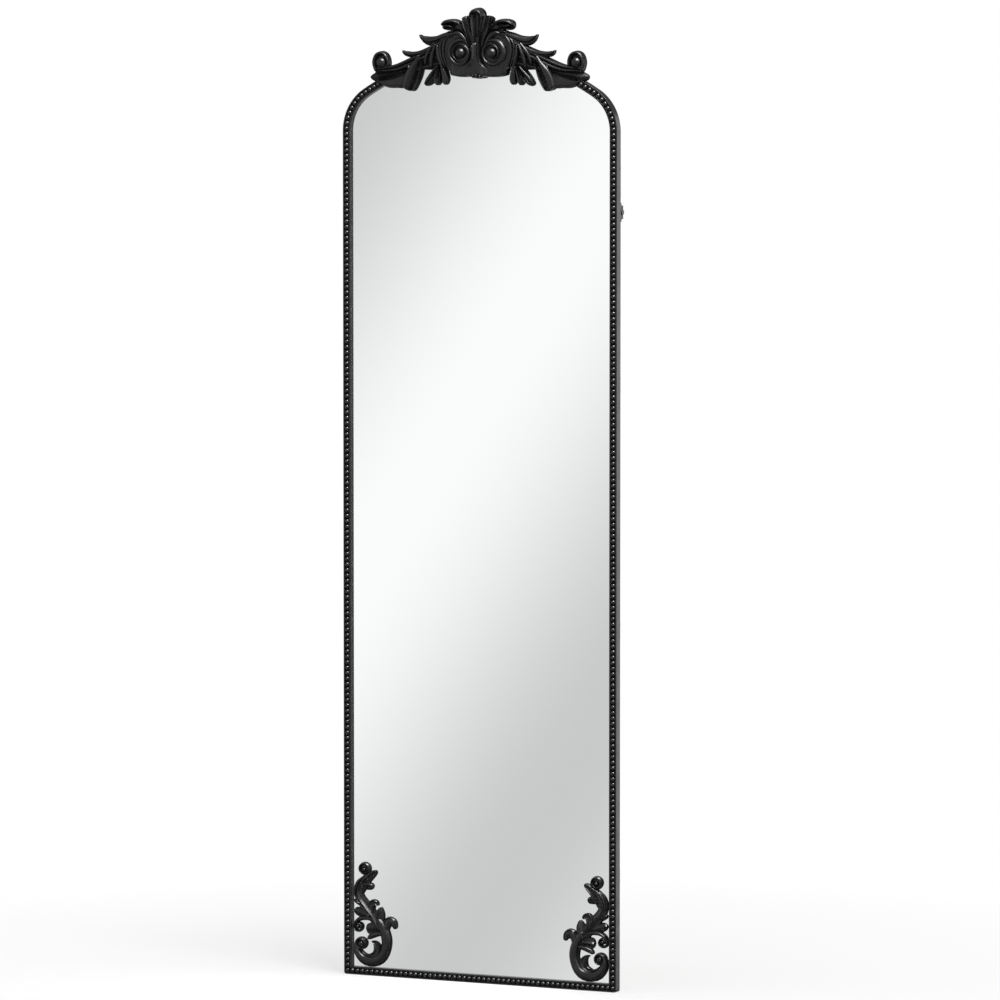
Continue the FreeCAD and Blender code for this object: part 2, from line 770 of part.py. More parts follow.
def make_back_clips():
    seat = back + clip_thickness
    clips = []
    screws = []
    hole = small_screw_radius + screw_clearance
    for side in (-1, 1):
        for height in SIDE_CLIPS:
            start = half_width - clip_inset if side < 0 else half_width - clip_inset - clip_width
            across = side * (half_width - screw_line)
            near = -start if side < 0 else start
            low = height - clip_length / 2
            plate = box("clip_plate", clip_width, clip_thickness, clip_length, near, back, low)
            places = [(across, height + step * clip_screw_gap / 2) for step in (-1, 1)]
            clips.append(drilled("clip", plate, places, hole, back, clip_thickness))
            screws += [back_screw(*spot, seat) for spot in places]
        middle = side * clip_bottom_place
        left = middle - clip_length / 2
        plate = box("clip_plate", clip_length, clip_thickness, clip_width, left, back, clip_inset)
        places = [(middle + step * clip_screw_gap / 2, screw_line) for step in (-1, 1)]
        clips.append(drilled("clip", plate, places, hole, back, clip_thickness))
        screws += [back_screw(*spot, seat) for spot in places]
    low = arch_top - clip_inset - clip_width
    plate = box("clip_plate", clip_length, clip_thickness, clip_width, -clip_length / 2, back, low)
    places = top_clip_places()
    clips.append(drilled("clip", plate, places, hole, back, clip_thickness))
    screws += [back_screw(*spot, seat) for spot in places]
    keep(group("board_clips", clips), "board_clips")
    keep(group("board_clip_screws", screws), "board_clip_screws")


def make_key_screws():
    reach = key_length - 2 * tube_wall
    across, up = shoulder_screw_place()
    screws = []
    for side in (-1, 1):
        places = [
            (side * (half_width - screw_line), reach),
            (side * (half_width - reach), screw_line),
            (side * (half_width - screw_line), shoulder_height - key_length / 2),
            (side * across, up),
        ]
        screws += [back_screw(*spot, back) for spot in places]
    keep(group("joint_key_screws", screws), "joint_key_screws")


def make_hanger():
    body = new_body("hanger_plate_right")
    outline = sketch_on(body, "XZ_Plane", "hanger_outline", -(back + hanger_thickness))
    outer = half_width - clip_inset
    inner = outer - hanger_width
    low = hanger_height - hanger_length / 2
    high = hanger_height + hanger_length / 2
    polygon(outline, [(inner, low), (outer, low), (outer, high), (inner, high)])
    pad(body, outline, hanger_thickness, "hanger_thickness")
    holes = sketch_on(body, "XZ_Plane", "hanger_holes", -back + 1)
    across = half_width - keyhole_line
    circle(holes, across, hanger_height, keyhole_radius)
    for side in (-1, 1):
        up = hanger_height + side * hanger_screw_gap / 2
        circle(holes, half_width - screw_line, up, small_screw_radius + screw_clearance)
    pocket(body, holes, hanger_thickness + 2, "hanger_hole_cut")
    slot = sketch_on(body, "XZ_Plane", "hanger_slot", -back + 1)
    half = keyhole_slot / 2
    top = hanger_height + keyhole_rise
    polygon(slot, [(across - half, hanger_height), (across + half, hanger_height),
                   (across + half, top), (across - half, top)])
    pocket(body, slot, hanger_thickness + 2, "hanger_slot_cut")
    keep(body)
    mirrored(body, "hanger_plate_left")
    screws = []
    for side in (-1, 1):
        for step in (-1, 1):
            up = hanger_height + step * hanger_screw_gap / 2
            screws.append(back_screw(side * (half_width - screw_line), up, back + hanger_thickness))
    keep(group("hanger_screws", screws), "hanger_screws")


def make_bracket():
    body = new_body("stand_bracket_right")
    ear = sketch_on(body, "YZ_Plane", "ear_outline", ear_inside)
    top = back + ear_height
    polygon(
        ear,
        [
            (back, pivot_height - ear_foot / 2),
            (top, pivot_height - ear_top / 2),
            (top, pivot_height + ear_top / 2),
            (back, pivot_height + ear_foot / 2),
        ],
    )
    pad(body, ear, ear_thickness, "ear")
    flange = sketch_on(body, "YZ_Plane", "flange_outline", ear_inside - flange_width)
    low = pivot_height - ear_foot / 2
    high = pivot_height + ear_foot / 2
    seat = back + flange_thickness
    polygon(flange, [(back, low), (seat, low), (seat, high), (back, high)])
    pad(body, flange, flange_width, "stop_flange")
    bore = sketch_on(body, "YZ_Plane", "pivot_bore_plan", ear_outside + 1)
    circle(bore, pivot_depth, pivot_height, bolt_radius + bolt_clearance)
    pocket(body, bore, ear_thickness + 2, "pivot_bore")
    places = [
        (half_width - bracket_screw_line, pivot_height + side * bracket_screw_gap / 2) for side in (-1, 1)
    ]
    holes = sketch_on(body, "XZ_Plane", "bracket_holes", -back + 1)
    sinks = sketch_on(body, "XZ_Plane", "bracket_sinks", -back - bracket_seat)
    for across, up in places:
        circle(holes, across, up, small_screw_radius + screw_clearance)
        circle(sinks, across, up, small_head_radius + 2 * screw_clearance)
    pocket(body, holes, ear_height + 2, "bracket_hole_cut")
    pocket(body, sinks, ear_height, "bracket_sink_cut")
    keep(body)
    mirrored(body, "stand_bracket_left")
    plates = []
    screws = []
    hole = small_screw_radius + screw_clearance
    wide = rebate_line - 2 * tube_wall - 2 * key_clearance
    seat = back + bracket_seat
    reach = bracket_seat + tube_wall + nut_plate_thickness
    for side in (-1, 1):
        middle = side * (half_width - rebate_line / 2)
        near = back - tube_wall - nut_plate_thickness
        low = pivot_height - nut_plate_length / 2
        plate = box("nut_plate", wide, nut_plate_thickness, nut_plate_length, middle - wide / 2, near, low)
        spots = [(side * across, up) for across, up in places]
        plates.append(drilled("tapped_plate", plate, spots, hole, near, nut_plate_thickness))
        for across, up in spots:
            head = rod("screw_head", small_head_radius, small_head_height, across, seat, up, ALONG_Y)
            shank = rod("screw_shank", small_screw_radius, reach, across, seat - reach, up, ALONG_Y)
            screws.append(fuse("bracket_screw", head, shank))
    keep(group("bracket_nut_plates", plates), "bracket_nut_plates")
    keep(group("bracket_screws", screws), "bracket_screws")


def make_pivots():
    """Bolts, washers and nuts of the stand hinge, in pairs."""
    bolts = []
    washers = []
    nuts = []
    nut_place = knuckle_inside - hinge_gap - nut_height
    for side in (-1, 1):
        head_start = side * ear_outside - (bolt_head_height if side < 0 else 0 * ear_outside)
        spot = (pivot_depth, pivot_height, ALONG_X)
        head = rod("bolt_head", bolt_head_radius, bolt_head_height, head_start, *spot)
        length = ear_outside - nut_place
        start = nut_place if side > 0 else -ear_outside
        shank = rod("bolt_shank", bolt_radius, length, start, *spot)
        bolts.append(fuse("pivot_bolt", head, shank))
        near = ear_inside - washer_thickness if side > 0 else -ear_inside
        disc = rod("washer_disc", washer_radius, washer_thickness, near, pivot_depth, pivot_height, ALONG_X)
        eye = rod("washer_eye", bolt_radius + bolt_clearance, washer_thickness + 2, near - 1, pivot_depth,
                  pivot_height, ALONG_X)
        washers.append(cut("pivot_washer", disc, eye))
        near = nut_place if side > 0 else -nut_place - nut_height
        block = doc.addObject("Part::Prism", "nut_block")
        block.Polygon = 6
        bind(block, "Circumradius", nut_radius)
        bind(block, "Height", nut_height)
        block.Placement = Placement(Vector(), ALONG_X)
        place(block, near, pivot_depth, pivot_height)
        thread = rod("nut_thread", bolt_radius, nut_height + 2, near - 1, pivot_depth, pivot_height, ALONG_X)
        nuts.append(cut("pivot_nut", block, thread))
    keep(group("pivot_bolts", bolts), "pivot_bolts")
    keep(group("pivot_washers", washers), "pivot_washers")
    keep(group("pivot_nuts", nuts), "pivot_nuts")


def make_knuckle():
    body = new_body("stand_knuckle_right")
    open_turn = math.radians(stand_angle.value)
    lean_cos = Dim(math.cos(open_turn), f"cos({stand_angle.text} * 1 deg)")
    lean_sin = Dim(math.sin(open_turn), f"sin({stand_angle.text} * 1 deg)")
    room = stand_tube_radius + stand_gap - stop_gap
    heel = (room - stand_tube_radius * lean_cos) / lean_sin
    near = pivot_depth - stand_tube_radius
    far = pivot_depth + stand_tube_radius
    side = sketch_on(body, "YZ_Plane", "knuckle_outline", knuckle_inside)
    polygon(
        side,
        [
            (near, leg_top),
            (far, leg_top),
            (far, pivot_height),
            (pivot_depth + stand_tube_radius / 2, pivot_height + heel * 0.9),
            (near + stand_tube_radius / 2, pivot_height + heel),
            (near, pivot_height + heel),
        ],
    )
    pad(body, side, 2 * stand_tube_radius, "knuckle_block")
    spigot = sketch_on(body, "XY_Plane", "spigot_section", leg_top - spigot_length)
    circle(spigot, leg_place, pivot_depth, stand_tube_radius - stand_tube_wall - spigot_clearance)
    pad(body, spigot, spigot_length + 1, "spigot")
    bore = sketch_on(body, "YZ_Plane", "knuckle_bore_plan", knuckle_outside + 1)
    circle(bore, pivot_depth, pivot_height, bolt_radius + bolt_clearance)
    pocket(body, bore, 2 * stand_tube_radius + 2, "knuckle_bore")
    keep(body)
    mirrored(body, "stand_knuckle_left")


def make_stand_tube():
    body = new_body("stand_tube")
    path = sketch_on(body, "XZ_Plane", "stand_path", -pivot_depth)
    leg = leg_place.value
    low = stand_bar_height.value
    bend = stand_bend.value
    top = leg_top.value
    normal = Vector(0, 0, 1)
    left = Part.Circle(Vector(bend - leg, low + bend, 0), normal, bend)
    right = Part.Circle(Vector(leg - bend, low + bend, 0), normal, bend)
    path.addGeometry(
        [
            Part.LineSegment(Vector(-leg, top, 0), Vector(-leg, low + bend, 0)),
            Part.ArcOfCircle(left, math.pi, 1.5 * math.pi),
            Part.LineSegment(Vector(bend - leg, low, 0), Vector(leg - bend, low, 0)),
            Part.ArcOfCircle(right, 1.5 * math.pi, 2 * math.pi),
            Part.LineSegment(Vector(leg, low + bend, 0), Vector(leg, top, 0)),
        ],
        False,
    )
    for index in range(4):
        path.addConstraint(Sketcher.Constraint("Coincident", index, 2, index + 1, 1))
    pin(path, 0, 1, -leg_place, leg_top)
    pin(path, 0, 2, -leg_place, stand_bar_height + stand_bend)
    pin(path, 2, 1, stand_bend - leg_place, stand_bar_height)
    pin(path, 2, 2, leg_place - stand_bend, stand_bar_height)
    pin(path, 4, 1, leg_place, stand_bar_height + stand_bend)
    pin(path, 4, 2, leg_place, leg_top)
    measure(path, "DistanceX", 1, 3, stand_bend - leg_place)
    measure(path, "DistanceX", 3, 3, leg_place - stand_bend)
    ring = sketch_on(body, "XY_Plane", "stand_ring", leg_top)
    circle(ring, -leg_place, pivot_depth, stand_tube_radius)
    circle(ring, -leg_place, pivot_depth, stand_tube_radius - stand_tube_wall)
    pipe = body.newObject("PartDesign::AdditivePipe", "stand_bent_tube")
    pipe.Profile = ring
    pipe.Spine = (path, [f"Edge{number}" for number in range(1, 6)])
    keep(body)


def make_sleeves():
    for side, name in ((-1, "foot_sleeve_left"), (1, "foot_sleeve_right")):
        start = side * sleeve_place - sleeve_length / 2
        outer = rod("sleeve_outside", stand_tube_radius + sleeve_wall, sleeve_length, start, pivot_depth,
                    stand_bar_height, ALONG_X)
        inner = rod("sleeve_bore", stand_tube_radius, sleeve_length + 2, start - 1, pivot_depth,
                    stand_bar_height, ALONG_X)
        keep(cut(name, outer, inner), name)


def make_bumpers():
    height = pivot_depth - stand_tube_radius - bumper_gap - back
    dots = []
    for side in (-1, 1):
        for up in (bumper_low, bumper_high):
            dots.append(rod("bumper", bumper_radius, height, side * leg_place, back, up, ALONG_Y))
    keep(group("stand_bumpers", dots), "stand_bumpers")


# A leaf's section: across as a share of its half width, forward as a share of its thickness.
LEAF_SECTION = [(-1, 0), (1, 0), (1, 0.55), (0.5, 0.95), (-0.5, 0.95), (-1, 0.55)]


def facet(*corners):
    return Part.Face(Part.makePolygon(list(corners) + [corners[0]]))


def blade(stations, rear):
    """A carved leaf in flat facets: a flat back, upright edges and a ridge along a bending line.

    Each station is across, up, half width and thickness.
    """
    rows = []
    last = len(stations) - 1
    for index, (across, up, half, thick) in enumerate(stations):
        before = stations[max(index - 1, 0)]
        after = stations[min(index + 1, last)]
        along = Vector(after[0] - before[0], 0, after[1] - before[1]).normalize()
        side = Vector(along.z, 0, -along.x)
        middle = Vector(across, rear, up)
        forward = Vector(0, -thick, 0)
        rows.append([middle + side * (reach * half) + forward * share for reach, share in LEAF_SECTION])
    facets = [facet(*rows[0]), facet(*rows[last])]
    for row, following in zip(rows, rows[1:]):
        for corner in range(len(row)):
            beside = (corner + 1) % len(row)
            facets.append(facet(row[corner], row[beside], following[beside]))
            facets.append(facet(row[corner], following[beside], following[corner]))
    leaf = Part.makeSolid(Part.makeShell(facets))
    if leaf.Volume < 0:
        leaf.reverse()
    return leaf


def disc(across, up, radius, thick, rear):
    return Part.makeCylinder(radius, thick, Vector(across, rear, up), Vector(0, -1, 0))


def ring(across, up, inner, outer, thick, rear):
    """A scroll band: a ring with a bevelled front."""
    middle = Vector(across, 0, up)
    lean = (outer - inner) / 4
    corners = [(inner, rear), (outer, rear), (outer, rear - 0.7 * thick),
               (outer - lean, rear - thick), (inner + lean, rear - thick), (inner, rear - 0.7 * thick)]
    points = [middle + Vector(radius, depth, 0) for radius, depth in corners]
    face = Part.Face(Part.makePolygon(points + points[:1]))
    return face.revolve(middle, Vector(0, 1, 0), 360)


def ball(across, up, radius, thick, rear):
    """A scroll's round eye, on a stem where the carving is thicker than the eye."""
    rise = min(thick, 0.8 * radius)
    cap = dome(Vector(across, rear - thick + rise, up), radius, rise)
    if thick == rise:
        return cap
    return cap.fuse(disc(across, up, radius, thick - rise, rear))


def plate(points, thick, rear):
    """A flat ground behind the leaves, with a smooth edge."""
    corners = [Vector(across, rear, up) for across, up in points]
    face = Part.Face(Part.makePolygon(corners + corners[:1]))
    return face.extrude(Vector(0, -thick, 0))


# Leaves of the right half of the crest. Across from the middle, up from the crest's lowest point,
# half width, and thickness as a share of the greatest relief.
CREST_DRAWN_WIDTH = 404
CREST_DRAWN_HEIGHT = 135
CREST_LEAVES = {
    "side_flute": [(7, 77, 3, 0.6), (12.5, 94, 4.5, 0.64), (18, 110, 5.8, 0.66), (21.5, 121, 6.6, 0.6)],
    "curled_leaf": [(20, 76, 5, 0.66), (29, 91, 6, 0.7), (40, 103, 8, 0.74), (52, 106, 9.2, 0.72),
                    (61, 105, 6.5, 0.6), (66, 105, 2, 0.42)],
    "upper_frond": [(38, 84, 6, 0.6), (58, 87, 8, 0.56), (80, 81, 7, 0.5), (93, 79, 7.4, 0.48),
                    (100, 82.5, 6, 0.45), (103.6, 87, 3, 0.42), (104.8, 91, 0.8, 0.38)],
    "lower_frond": [(58, 78, 5, 0.52), (80, 70, 6, 0.5), (103, 62, 5.4, 0.48), (121, 58.2, 5.4, 0.46),
                    (130, 58.6, 5.4, 0.44), (135, 61.5, 2.8, 0.4), (136.6, 65, 0.8, 0.36)],
    "scroll_arm": [(62, 72, 6, 0.5), (90, 57, 7, 0.52), (120, 44, 7, 0.54), (150, 38, 5.5, 0.5),
                   (178, 36, 4.5, 0.46)],
    "tail_leaf": [(120, 41, 5, 0.48), (150, 33, 6, 0.48), (172, 28.5, 6.5, 0.46), (188, 25, 7, 0.42),
                  (199.5, 24, 2.5, 0.34)],
    "long_leaf": [(118, 33, 5, 0.46), (138, 18, 11.5, 0.5), (156, 15.5, 9.8, 0.54), (172, 14, 6.5, 0.56),
                  (186, 16.5, 1.2, 0.52)],
    "drop_leaf": [(104, 55, 6, 0.5), (111, 40, 11, 0.54), (118, 26, 14.6, 0.52), (123, 12, 13.4, 0.48),
                  (125.5, 4, 10.5, 0.42), (126, 0.6, 7.5, 0.38)],
    "hanging_leaf": [(72, 46, 5, 0.46), (78, 33, 7, 0.36), (86, 22, 9, 0.3), (94, 14, 5.5, 0.24),
                     (100, 9.5, 1, 0.2)],
    "inner_leaf": [(62, 52, 7, 0.48), (65, 36, 9.6, 0.4), (67, 22, 10.6, 0.34), (69, 12, 8, 0.28),
                   (69.5, 9.3, 5.5, 0.24)],
    "fan_leaf": [(72, 74, 5, 0.5), (84, 60, 8, 0.48), (94, 48, 9, 0.42), (98, 37, 5, 0.34)],
    "volute_skirt": [(60, 78, 7, 0.56), (64, 62, 8, 0.6), (60, 46, 9, 0.58), (51, 34, 8.6, 0.52),
                     (36, 28, 3.4, 0.46)],
}
CREST_MIDDLE_LEAVES = {
    "tall_flute": [(0, 72, 5.5, 0.7), (0, 92, 8.4, 0.78), (0, 110, 11.6, 0.8), (0, 121.5, 13.4, 0.76),
                   (0, 128.5, 11.4, 0.66), (0, 133, 6.6, 0.56), (0, 135, 2.4, 0.5)],
    "pedestal": [(0, 78, 6.5, 0.84), (0, 60, 8, 0.9), (0, 46, 11.5, 0.9), (0, 36, 19, 0.88),
                 (0, 29, 22, 0.86), (0, 23.5, 20, 0.8)],
}
# Grounds behind the leaves: share of the relief, and outline.
CREST_GROUND = 0.52, [
    (0, 24.6), (44, 24.6), (55, 33), (64, 50), (72, 74), (66, 90), (50, 98), (38, 106), (29, 109.5),
    (22, 108), (10, 92), (0, 86),
]
CREST_WING = 0.43, [
    (56, 92), (74, 87), (91, 72), (109, 66), (127, 53), (150, 42), (178, 37), (192, 30), (184, 17), (164, 9),
    (138, 9), (112, 42), (98, 43), (84, 44), (70, 42), (56, 42),
]
# Scrolls: place, then radii and shares of the disc, of the ring on it and of the ball in it.
CREST_SCROLLS = [
    {"place": (28.5, 61.5), "disc": (21.5, 0.66), "ring": (11.5, 18.5, 0.84), "ball": (9.5, 1)},
    {"place": (177.8, 52.2), "disc": (13, 0.36), "ring": (11, 14.8, 0.56), "ball": (9.5, 0.6)},
]

# Leaves of a corner carving. In from the sight edge, up from the bottom rail, half width, thickness share.
CORNER_DRAWN_WIDTH = 84
CORNER_DRAWN_HEIGHT = 176
CORNER_LEAVES = {
    "neck": [(26, 150, 8.5, 0.7), (15, 140, 9.2, 0.75), (11, 127, 8.8, 0.8), (15, 115, 8.6, 0.85),
             (26, 102, 9.5, 0.9), (38, 87, 11, 0.95), (51, 70, 13, 1.0), (61, 52, 11.5, 1.0),
             (62, 36, 10.6, 1.0), (55, 20, 10, 1.0), (38, 10.8, 9.8, 1.0), (22, 13.5, 8.5, 1.0),
             (11, 25, 7, 0.95), (9, 39, 6, 0.9)],
    "tip_leaf": [(17, 145, 4, 0.7), (29, 149, 7, 0.75), (40, 154, 6, 0.7), (46.5, 159, 1, 0.5)],
    "side_lobe": [(11, 135, 5, 0.7), (23, 135, 5.5, 0.75), (34, 133.5, 5.5, 0.75), (40, 133.5, 4, 0.6)],
    "upper_curl": [(37, 84, 6, 0.8), (37.5, 98, 6.5, 0.8), (40, 106, 6, 0.8), (46.5, 107.5, 4.6, 0.75),
                   (51, 103, 1.5, 0.6)],
    "pointed_leaf": [(48, 66, 6, 0.8), (53, 82, 8, 0.8), (55, 94, 7, 0.75), (55, 102, 1.2, 0.6)],
    "hook_leaf": [(62, 56, 6, 0.9), (63, 71, 8, 0.9), (71, 79.5, 7.5, 0.9), (79, 76.5, 5.5, 0.85),
                  (82, 70.5, 2.5, 0.7)],
    "back_leaf": [(33, 83, 5.4, 0.68), (20, 91, 6.2, 0.62), (7, 100, 2.2, 0.52)],
    "small_arm": [(34, 77, 4.5, 0.7), (20, 81, 4.5, 0.75), (9, 75, 4, 0.75)],
    "inner_leaf": [(50, 66, 7, 0.7), (38, 67, 7.5, 0.7), (27, 67.5, 3, 0.6)],
    "low_leaf": [(52, 54, 6, 0.7), (41, 51, 4.5, 0.65), (31, 46, 1, 0.5)],
    "crescent": [(42, 14, 6, 0.8), (49, 25, 6, 0.8), (47, 36, 5, 0.75), (37, 42, 1, 0.55)],
}


def carved(leaves, spot):
    return [blade([spot(*station) for station in stations], spot.rear) for stations in leaves.values()]


class Spot:
    """Scales drawn stations to the carving and sets them in place."""

    def __init__(self, origin, stretch_x, stretch_z, relief, rear):
        self.origin = origin
        self.stretch_x = stretch_x
        self.stretch_z = stretch_z
        self.relief = relief
        self.rear = rear

    def __call__(self, across, up, half, share):
        x, z = self.flat(across, up)
        return x, z, half * abs(self.stretch_x), share * self.relief

    def flat(self, across, up):
        return self.origin.x + across * self.stretch_x, self.origin.z + up * self.stretch_z


def arch_room():
    """Room for the frame's arch, its shoulders and the last beads behind the crest."""
    play = crest_fit.value
    shoulder = Vector(shoulder_place.value, 0, shoulder_height.value)
    crown = Vector(0, 0, arch_centre.value)
    near = front.value
    far = back.value
    turn = shoulder_angle.value
    inset = face_width.value + play
    first = shoulder_radius.value
    second = arch_radius.value
    rest = arch_half_angle.value
    room = [
        ring_part(crown, second - inset, second + play, near, far, turn, rest),
        ring_part(shoulder, first - inset, first + play, near, far, 0, turn),
    ]
    bead_near = strip_face.value - bead_rise.value - play
    inside = rim_width.value + channel_width.value + play
    outside = rim_width.value - play
    lap = rest - strip_end_angle.value
    room.append(ring_part(crown, second - inside, second - outside, bead_near, near, turn - 1, lap + 2))
    return room


def mirror_shape(shape):
    return shape.mirror(Vector(0, 0, 0), Vector(1, 0, 0))


# Slack in millimetres with which carved forms that nearly touch are taken as touching, in order of trial.
SLACKS = (0, 0.002, 0.005, 0.01)


def sound(shape, least):
    """Tell whether a carving came out as one whole solid, with at least that volume."""
    return shape.isValid() and len(shape.Solids) == 1 and shape.Volume >= least


def joined(pieces):
    """Join carved forms into one solid."""
    least = max(piece.Volume for piece in pieces)
    for slack in SLACKS:
        whole = pieces[0].multiFuse(pieces[1:], slack)
        if sound(whole, least):
            return whole.Solids[0]
    raise RuntimeError("the carved forms do not meet")


def carved_out(solid, tools):
    """Take the room of other pieces out of a carving."""
    for slack in SLACKS:
        rest = solid.cut(tools, slack)
        if sound(rest, solid.Volume / 2):
            return rest.Solids[0]
    raise RuntimeError("the carving falls apart")


def make_crest():
    rear = glass_front.value - crest_glass_gap.value
    base = arch_top.value - crest_drop.value
    scale_x = crest_width.value / CREST_DRAWN_WIDTH
    scale_z = crest_height.value / CREST_DRAWN_HEIGHT
    spot = Spot(Vector(0, 0, base), scale_x, scale_z, crest_relief.value, rear)
    relief = crest_relief.value
    half = carved(CREST_LEAVES, spot)
    for share, outline in (CREST_GROUND, CREST_WING):
        half.append(plate([spot.flat(*point) for point in outline], share * relief, rear))
    for scroll in CREST_SCROLLS:
        place = spot.flat(*scroll["place"])
        radius, share = scroll["disc"]
        half.append(disc(*place, radius * scale_x, share * relief, rear))
        inner, outer, share = scroll["ring"]
        half.append(ring(*place, inner * scale_x, outer * scale_x, share * relief, rear))
        radius, share = scroll["ball"]
        half.append(ball(*place, radius * scale_x, share * relief, rear))
    other_half = [mirror_shape(form) for form in half]
    whole = joined(carved(CREST_MIDDLE_LEAVES, spot) + half + other_half)
    room = arch_room()
    room += [mirror_shape(item) for item in room]
    hole = crest_screw_radius.value + screw_clearance.value
    for across, up in crest_screw_places():
        start = Vector(across.value, front.value + 1, up.value)
        room.append(Part.makeCylinder(hole, crest_screw_bite.value + 1, start, Vector(0, -1, 0)))
    crest = doc.addObject("Part::Feature", "crest")
    crest.Shape = carved_out(whole, room)
    keep(crest, "crest")
    screws = []
    for across, up in crest_screw_places():
        head = rod("crest_screw_head", crest_head_radius, crest_head_height, across, back, up, ALONG_Y)
        length = frame_depth + crest_screw_bite
        tip = front - crest_screw_bite
        shank = rod("crest_screw_shank", crest_screw_radius, length, across, tip, up, ALONG_Y)
        screws.append(fuse("crest_screw", head, shank))
    keep(group("crest_screws", screws), "crest_screws")


# Round forms of the corner carving: place, radii and share of the relief.
CORNER_RINGS = [((11.5, 67.5), 4, 10.5, 0.85)]
CORNER_BALLS = [((23.5, 161.5), 12.5, 1), ((16.5, 38.5), 11, 1), ((11.5, 67.5), 5, 0.9)]
PAD_PLACES = [(22, 161), (13, 126), (57, 60), (38, 11)]


def make_corner():
    rear = glass_front.value - pad_thickness.value
    inset = face_width + corner_gap
    corner = Vector(half_width.value - inset.value, 0, inset.value)
    scale_x = corner_width.value / CORNER_DRAWN_WIDTH
    scale_z = corner_height.value / CORNER_DRAWN_HEIGHT
    relief = corner_relief.value
    spot = Spot(corner, -scale_x, scale_z, relief, rear)
    pieces = carved(CORNER_LEAVES, spot)
    for place, inner, outer, share in CORNER_RINGS:
        pieces.append(ring(*spot.flat(*place), inner * scale_x, outer * scale_x, share * relief, rear))
    for place, radius, share in CORNER_BALLS:
        pieces.append(ball(*spot.flat(*place), radius * scale_x, share * relief, rear))
    reach = 2 * corner_height.value
    side_room = Part.makeBox(reach, reach, reach, Vector(corner.x, rear - reach / 2, corner.z - reach / 4))
    below = Vector(corner.x - reach / 2, rear - reach / 2, corner.z - reach)
    low_room = Part.makeBox(reach, reach, reach, below)
    carving = doc.addObject("Part::Feature", "corner_carving_right")
    carving.Shape = carved_out(joined(pieces), [side_room, low_room])
    keep(carving, "corner_carving_right")
    mirrored(carving, "corner_carving_left")
    for side, name in ((1, "corner_pads_right"), (-1, "corner_pads_left")):
        pads = []
        for place_x, place_z in PAD_PLACES:
            across = side * (half_width - inset - place_x * (corner_width / CORNER_DRAWN_WIDTH))
            up = inset + place_z * (corner_height / CORNER_DRAWN_HEIGHT)
            near = glass_front - pad_thickness
            pads.append(rod("adhesive_pad", pad_radius, pad_thickness, across, near, up, ALONG_Y))
        keep(group(name, pads), name)


def build():
    make_stile()
    make_bottom_rail()
    make_arch()
    make_corner_key()
    make_splice_key()
    make_bead_strips()
    make_panes()
    make_back_clips()
    make_key_screws()
    make_hanger()
    make_bracket()
    make_pivots()
    make_knuckle()
    make_stand_tube()
    make_sleeves()
    make_bumpers()
    make_crest()
    make_corner()
    doc.recompute()


def export():
    os.makedirs("parts", exist_ok=True)
    for item in NODES:
        bad = [word for word in item.State if word in ("Invalid", "Error")]
        if bad or item.Shape.isNull() or not item.Shape.isValid():
            raise RuntimeError(f"{item.Label} was not built: {item.State}")
        item.Shape.exportStep(f"parts/{item.Label}.step")
        bounds = item.Shape.BoundBox
        print(f"{item.Label}: {len(item.Shape.Solids)} solids, {item.Shape.Volume:.0f} mm3, "
              f"z {bounds.ZMin:.1f} to {bounds.ZMax:.1f}")


build()
export()
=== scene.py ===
"""Looks of an arched floor mirror with a beaded black frame and carved ornament.

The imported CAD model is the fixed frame. The moulding, beads, carvings, stand tube and foot sleeves
are modelled again over it in finer form. The other nodes keep their shape and get a finish.
"""

import json
import math

import bpy
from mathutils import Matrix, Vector


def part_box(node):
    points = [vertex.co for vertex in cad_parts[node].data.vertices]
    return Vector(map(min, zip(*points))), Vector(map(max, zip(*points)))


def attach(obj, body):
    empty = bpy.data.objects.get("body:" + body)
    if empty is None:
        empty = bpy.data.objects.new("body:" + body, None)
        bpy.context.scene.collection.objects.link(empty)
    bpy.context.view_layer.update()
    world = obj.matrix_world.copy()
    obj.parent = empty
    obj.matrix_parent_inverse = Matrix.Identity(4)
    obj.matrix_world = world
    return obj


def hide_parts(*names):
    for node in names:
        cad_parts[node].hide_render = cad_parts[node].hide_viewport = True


bl_info = {
    "name": "Floor Mirror",
    "version": (1, 0, 0),
    "blender": (4, 5, 0),
    "location": "View3D > Sidebar > Floor Mirror",
    "description": "Models and finishes an arched floor mirror with carved ornament",
    "category": "Add Mesh",
}

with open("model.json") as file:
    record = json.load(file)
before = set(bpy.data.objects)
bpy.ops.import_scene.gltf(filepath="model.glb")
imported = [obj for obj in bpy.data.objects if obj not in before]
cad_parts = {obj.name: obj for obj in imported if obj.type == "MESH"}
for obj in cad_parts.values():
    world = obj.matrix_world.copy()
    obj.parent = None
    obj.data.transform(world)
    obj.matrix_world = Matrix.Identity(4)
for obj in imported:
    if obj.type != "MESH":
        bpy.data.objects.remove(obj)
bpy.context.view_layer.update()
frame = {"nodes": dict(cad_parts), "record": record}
MM = 0.001
QUARTER_TURN = math.pi / 2

HALF_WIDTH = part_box("bottom_rail")[1].x
STILE_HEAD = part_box("right_stile")[1].z
ARCH_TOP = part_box("top_arch")[1].z
TUBE_LOW, TUBE_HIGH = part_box("stand_tube")

# Outlines in mm: distance in from the outer edge, place from front to back
MOULDING_OUTLINE = [
    (0, -8), (2.4, -8), (2.4, -6), (10.6, -6), (10.6, -8), (12.7, -8),
    (13.5, -7.2), (13.5, -1.8), (8, -1.8), (8, 8), (1.5, 8), (0, 6.5),
]
STRIP_FACE = -6.4
STRIP_OUTLINE = [(2.5, STRIP_FACE), (10.5, STRIP_FACE), (10.5, -6), (2.5, -6)]
SIGHT_EDGE = max(inset for inset, depth in MOULDING_OUTLINE) * MM

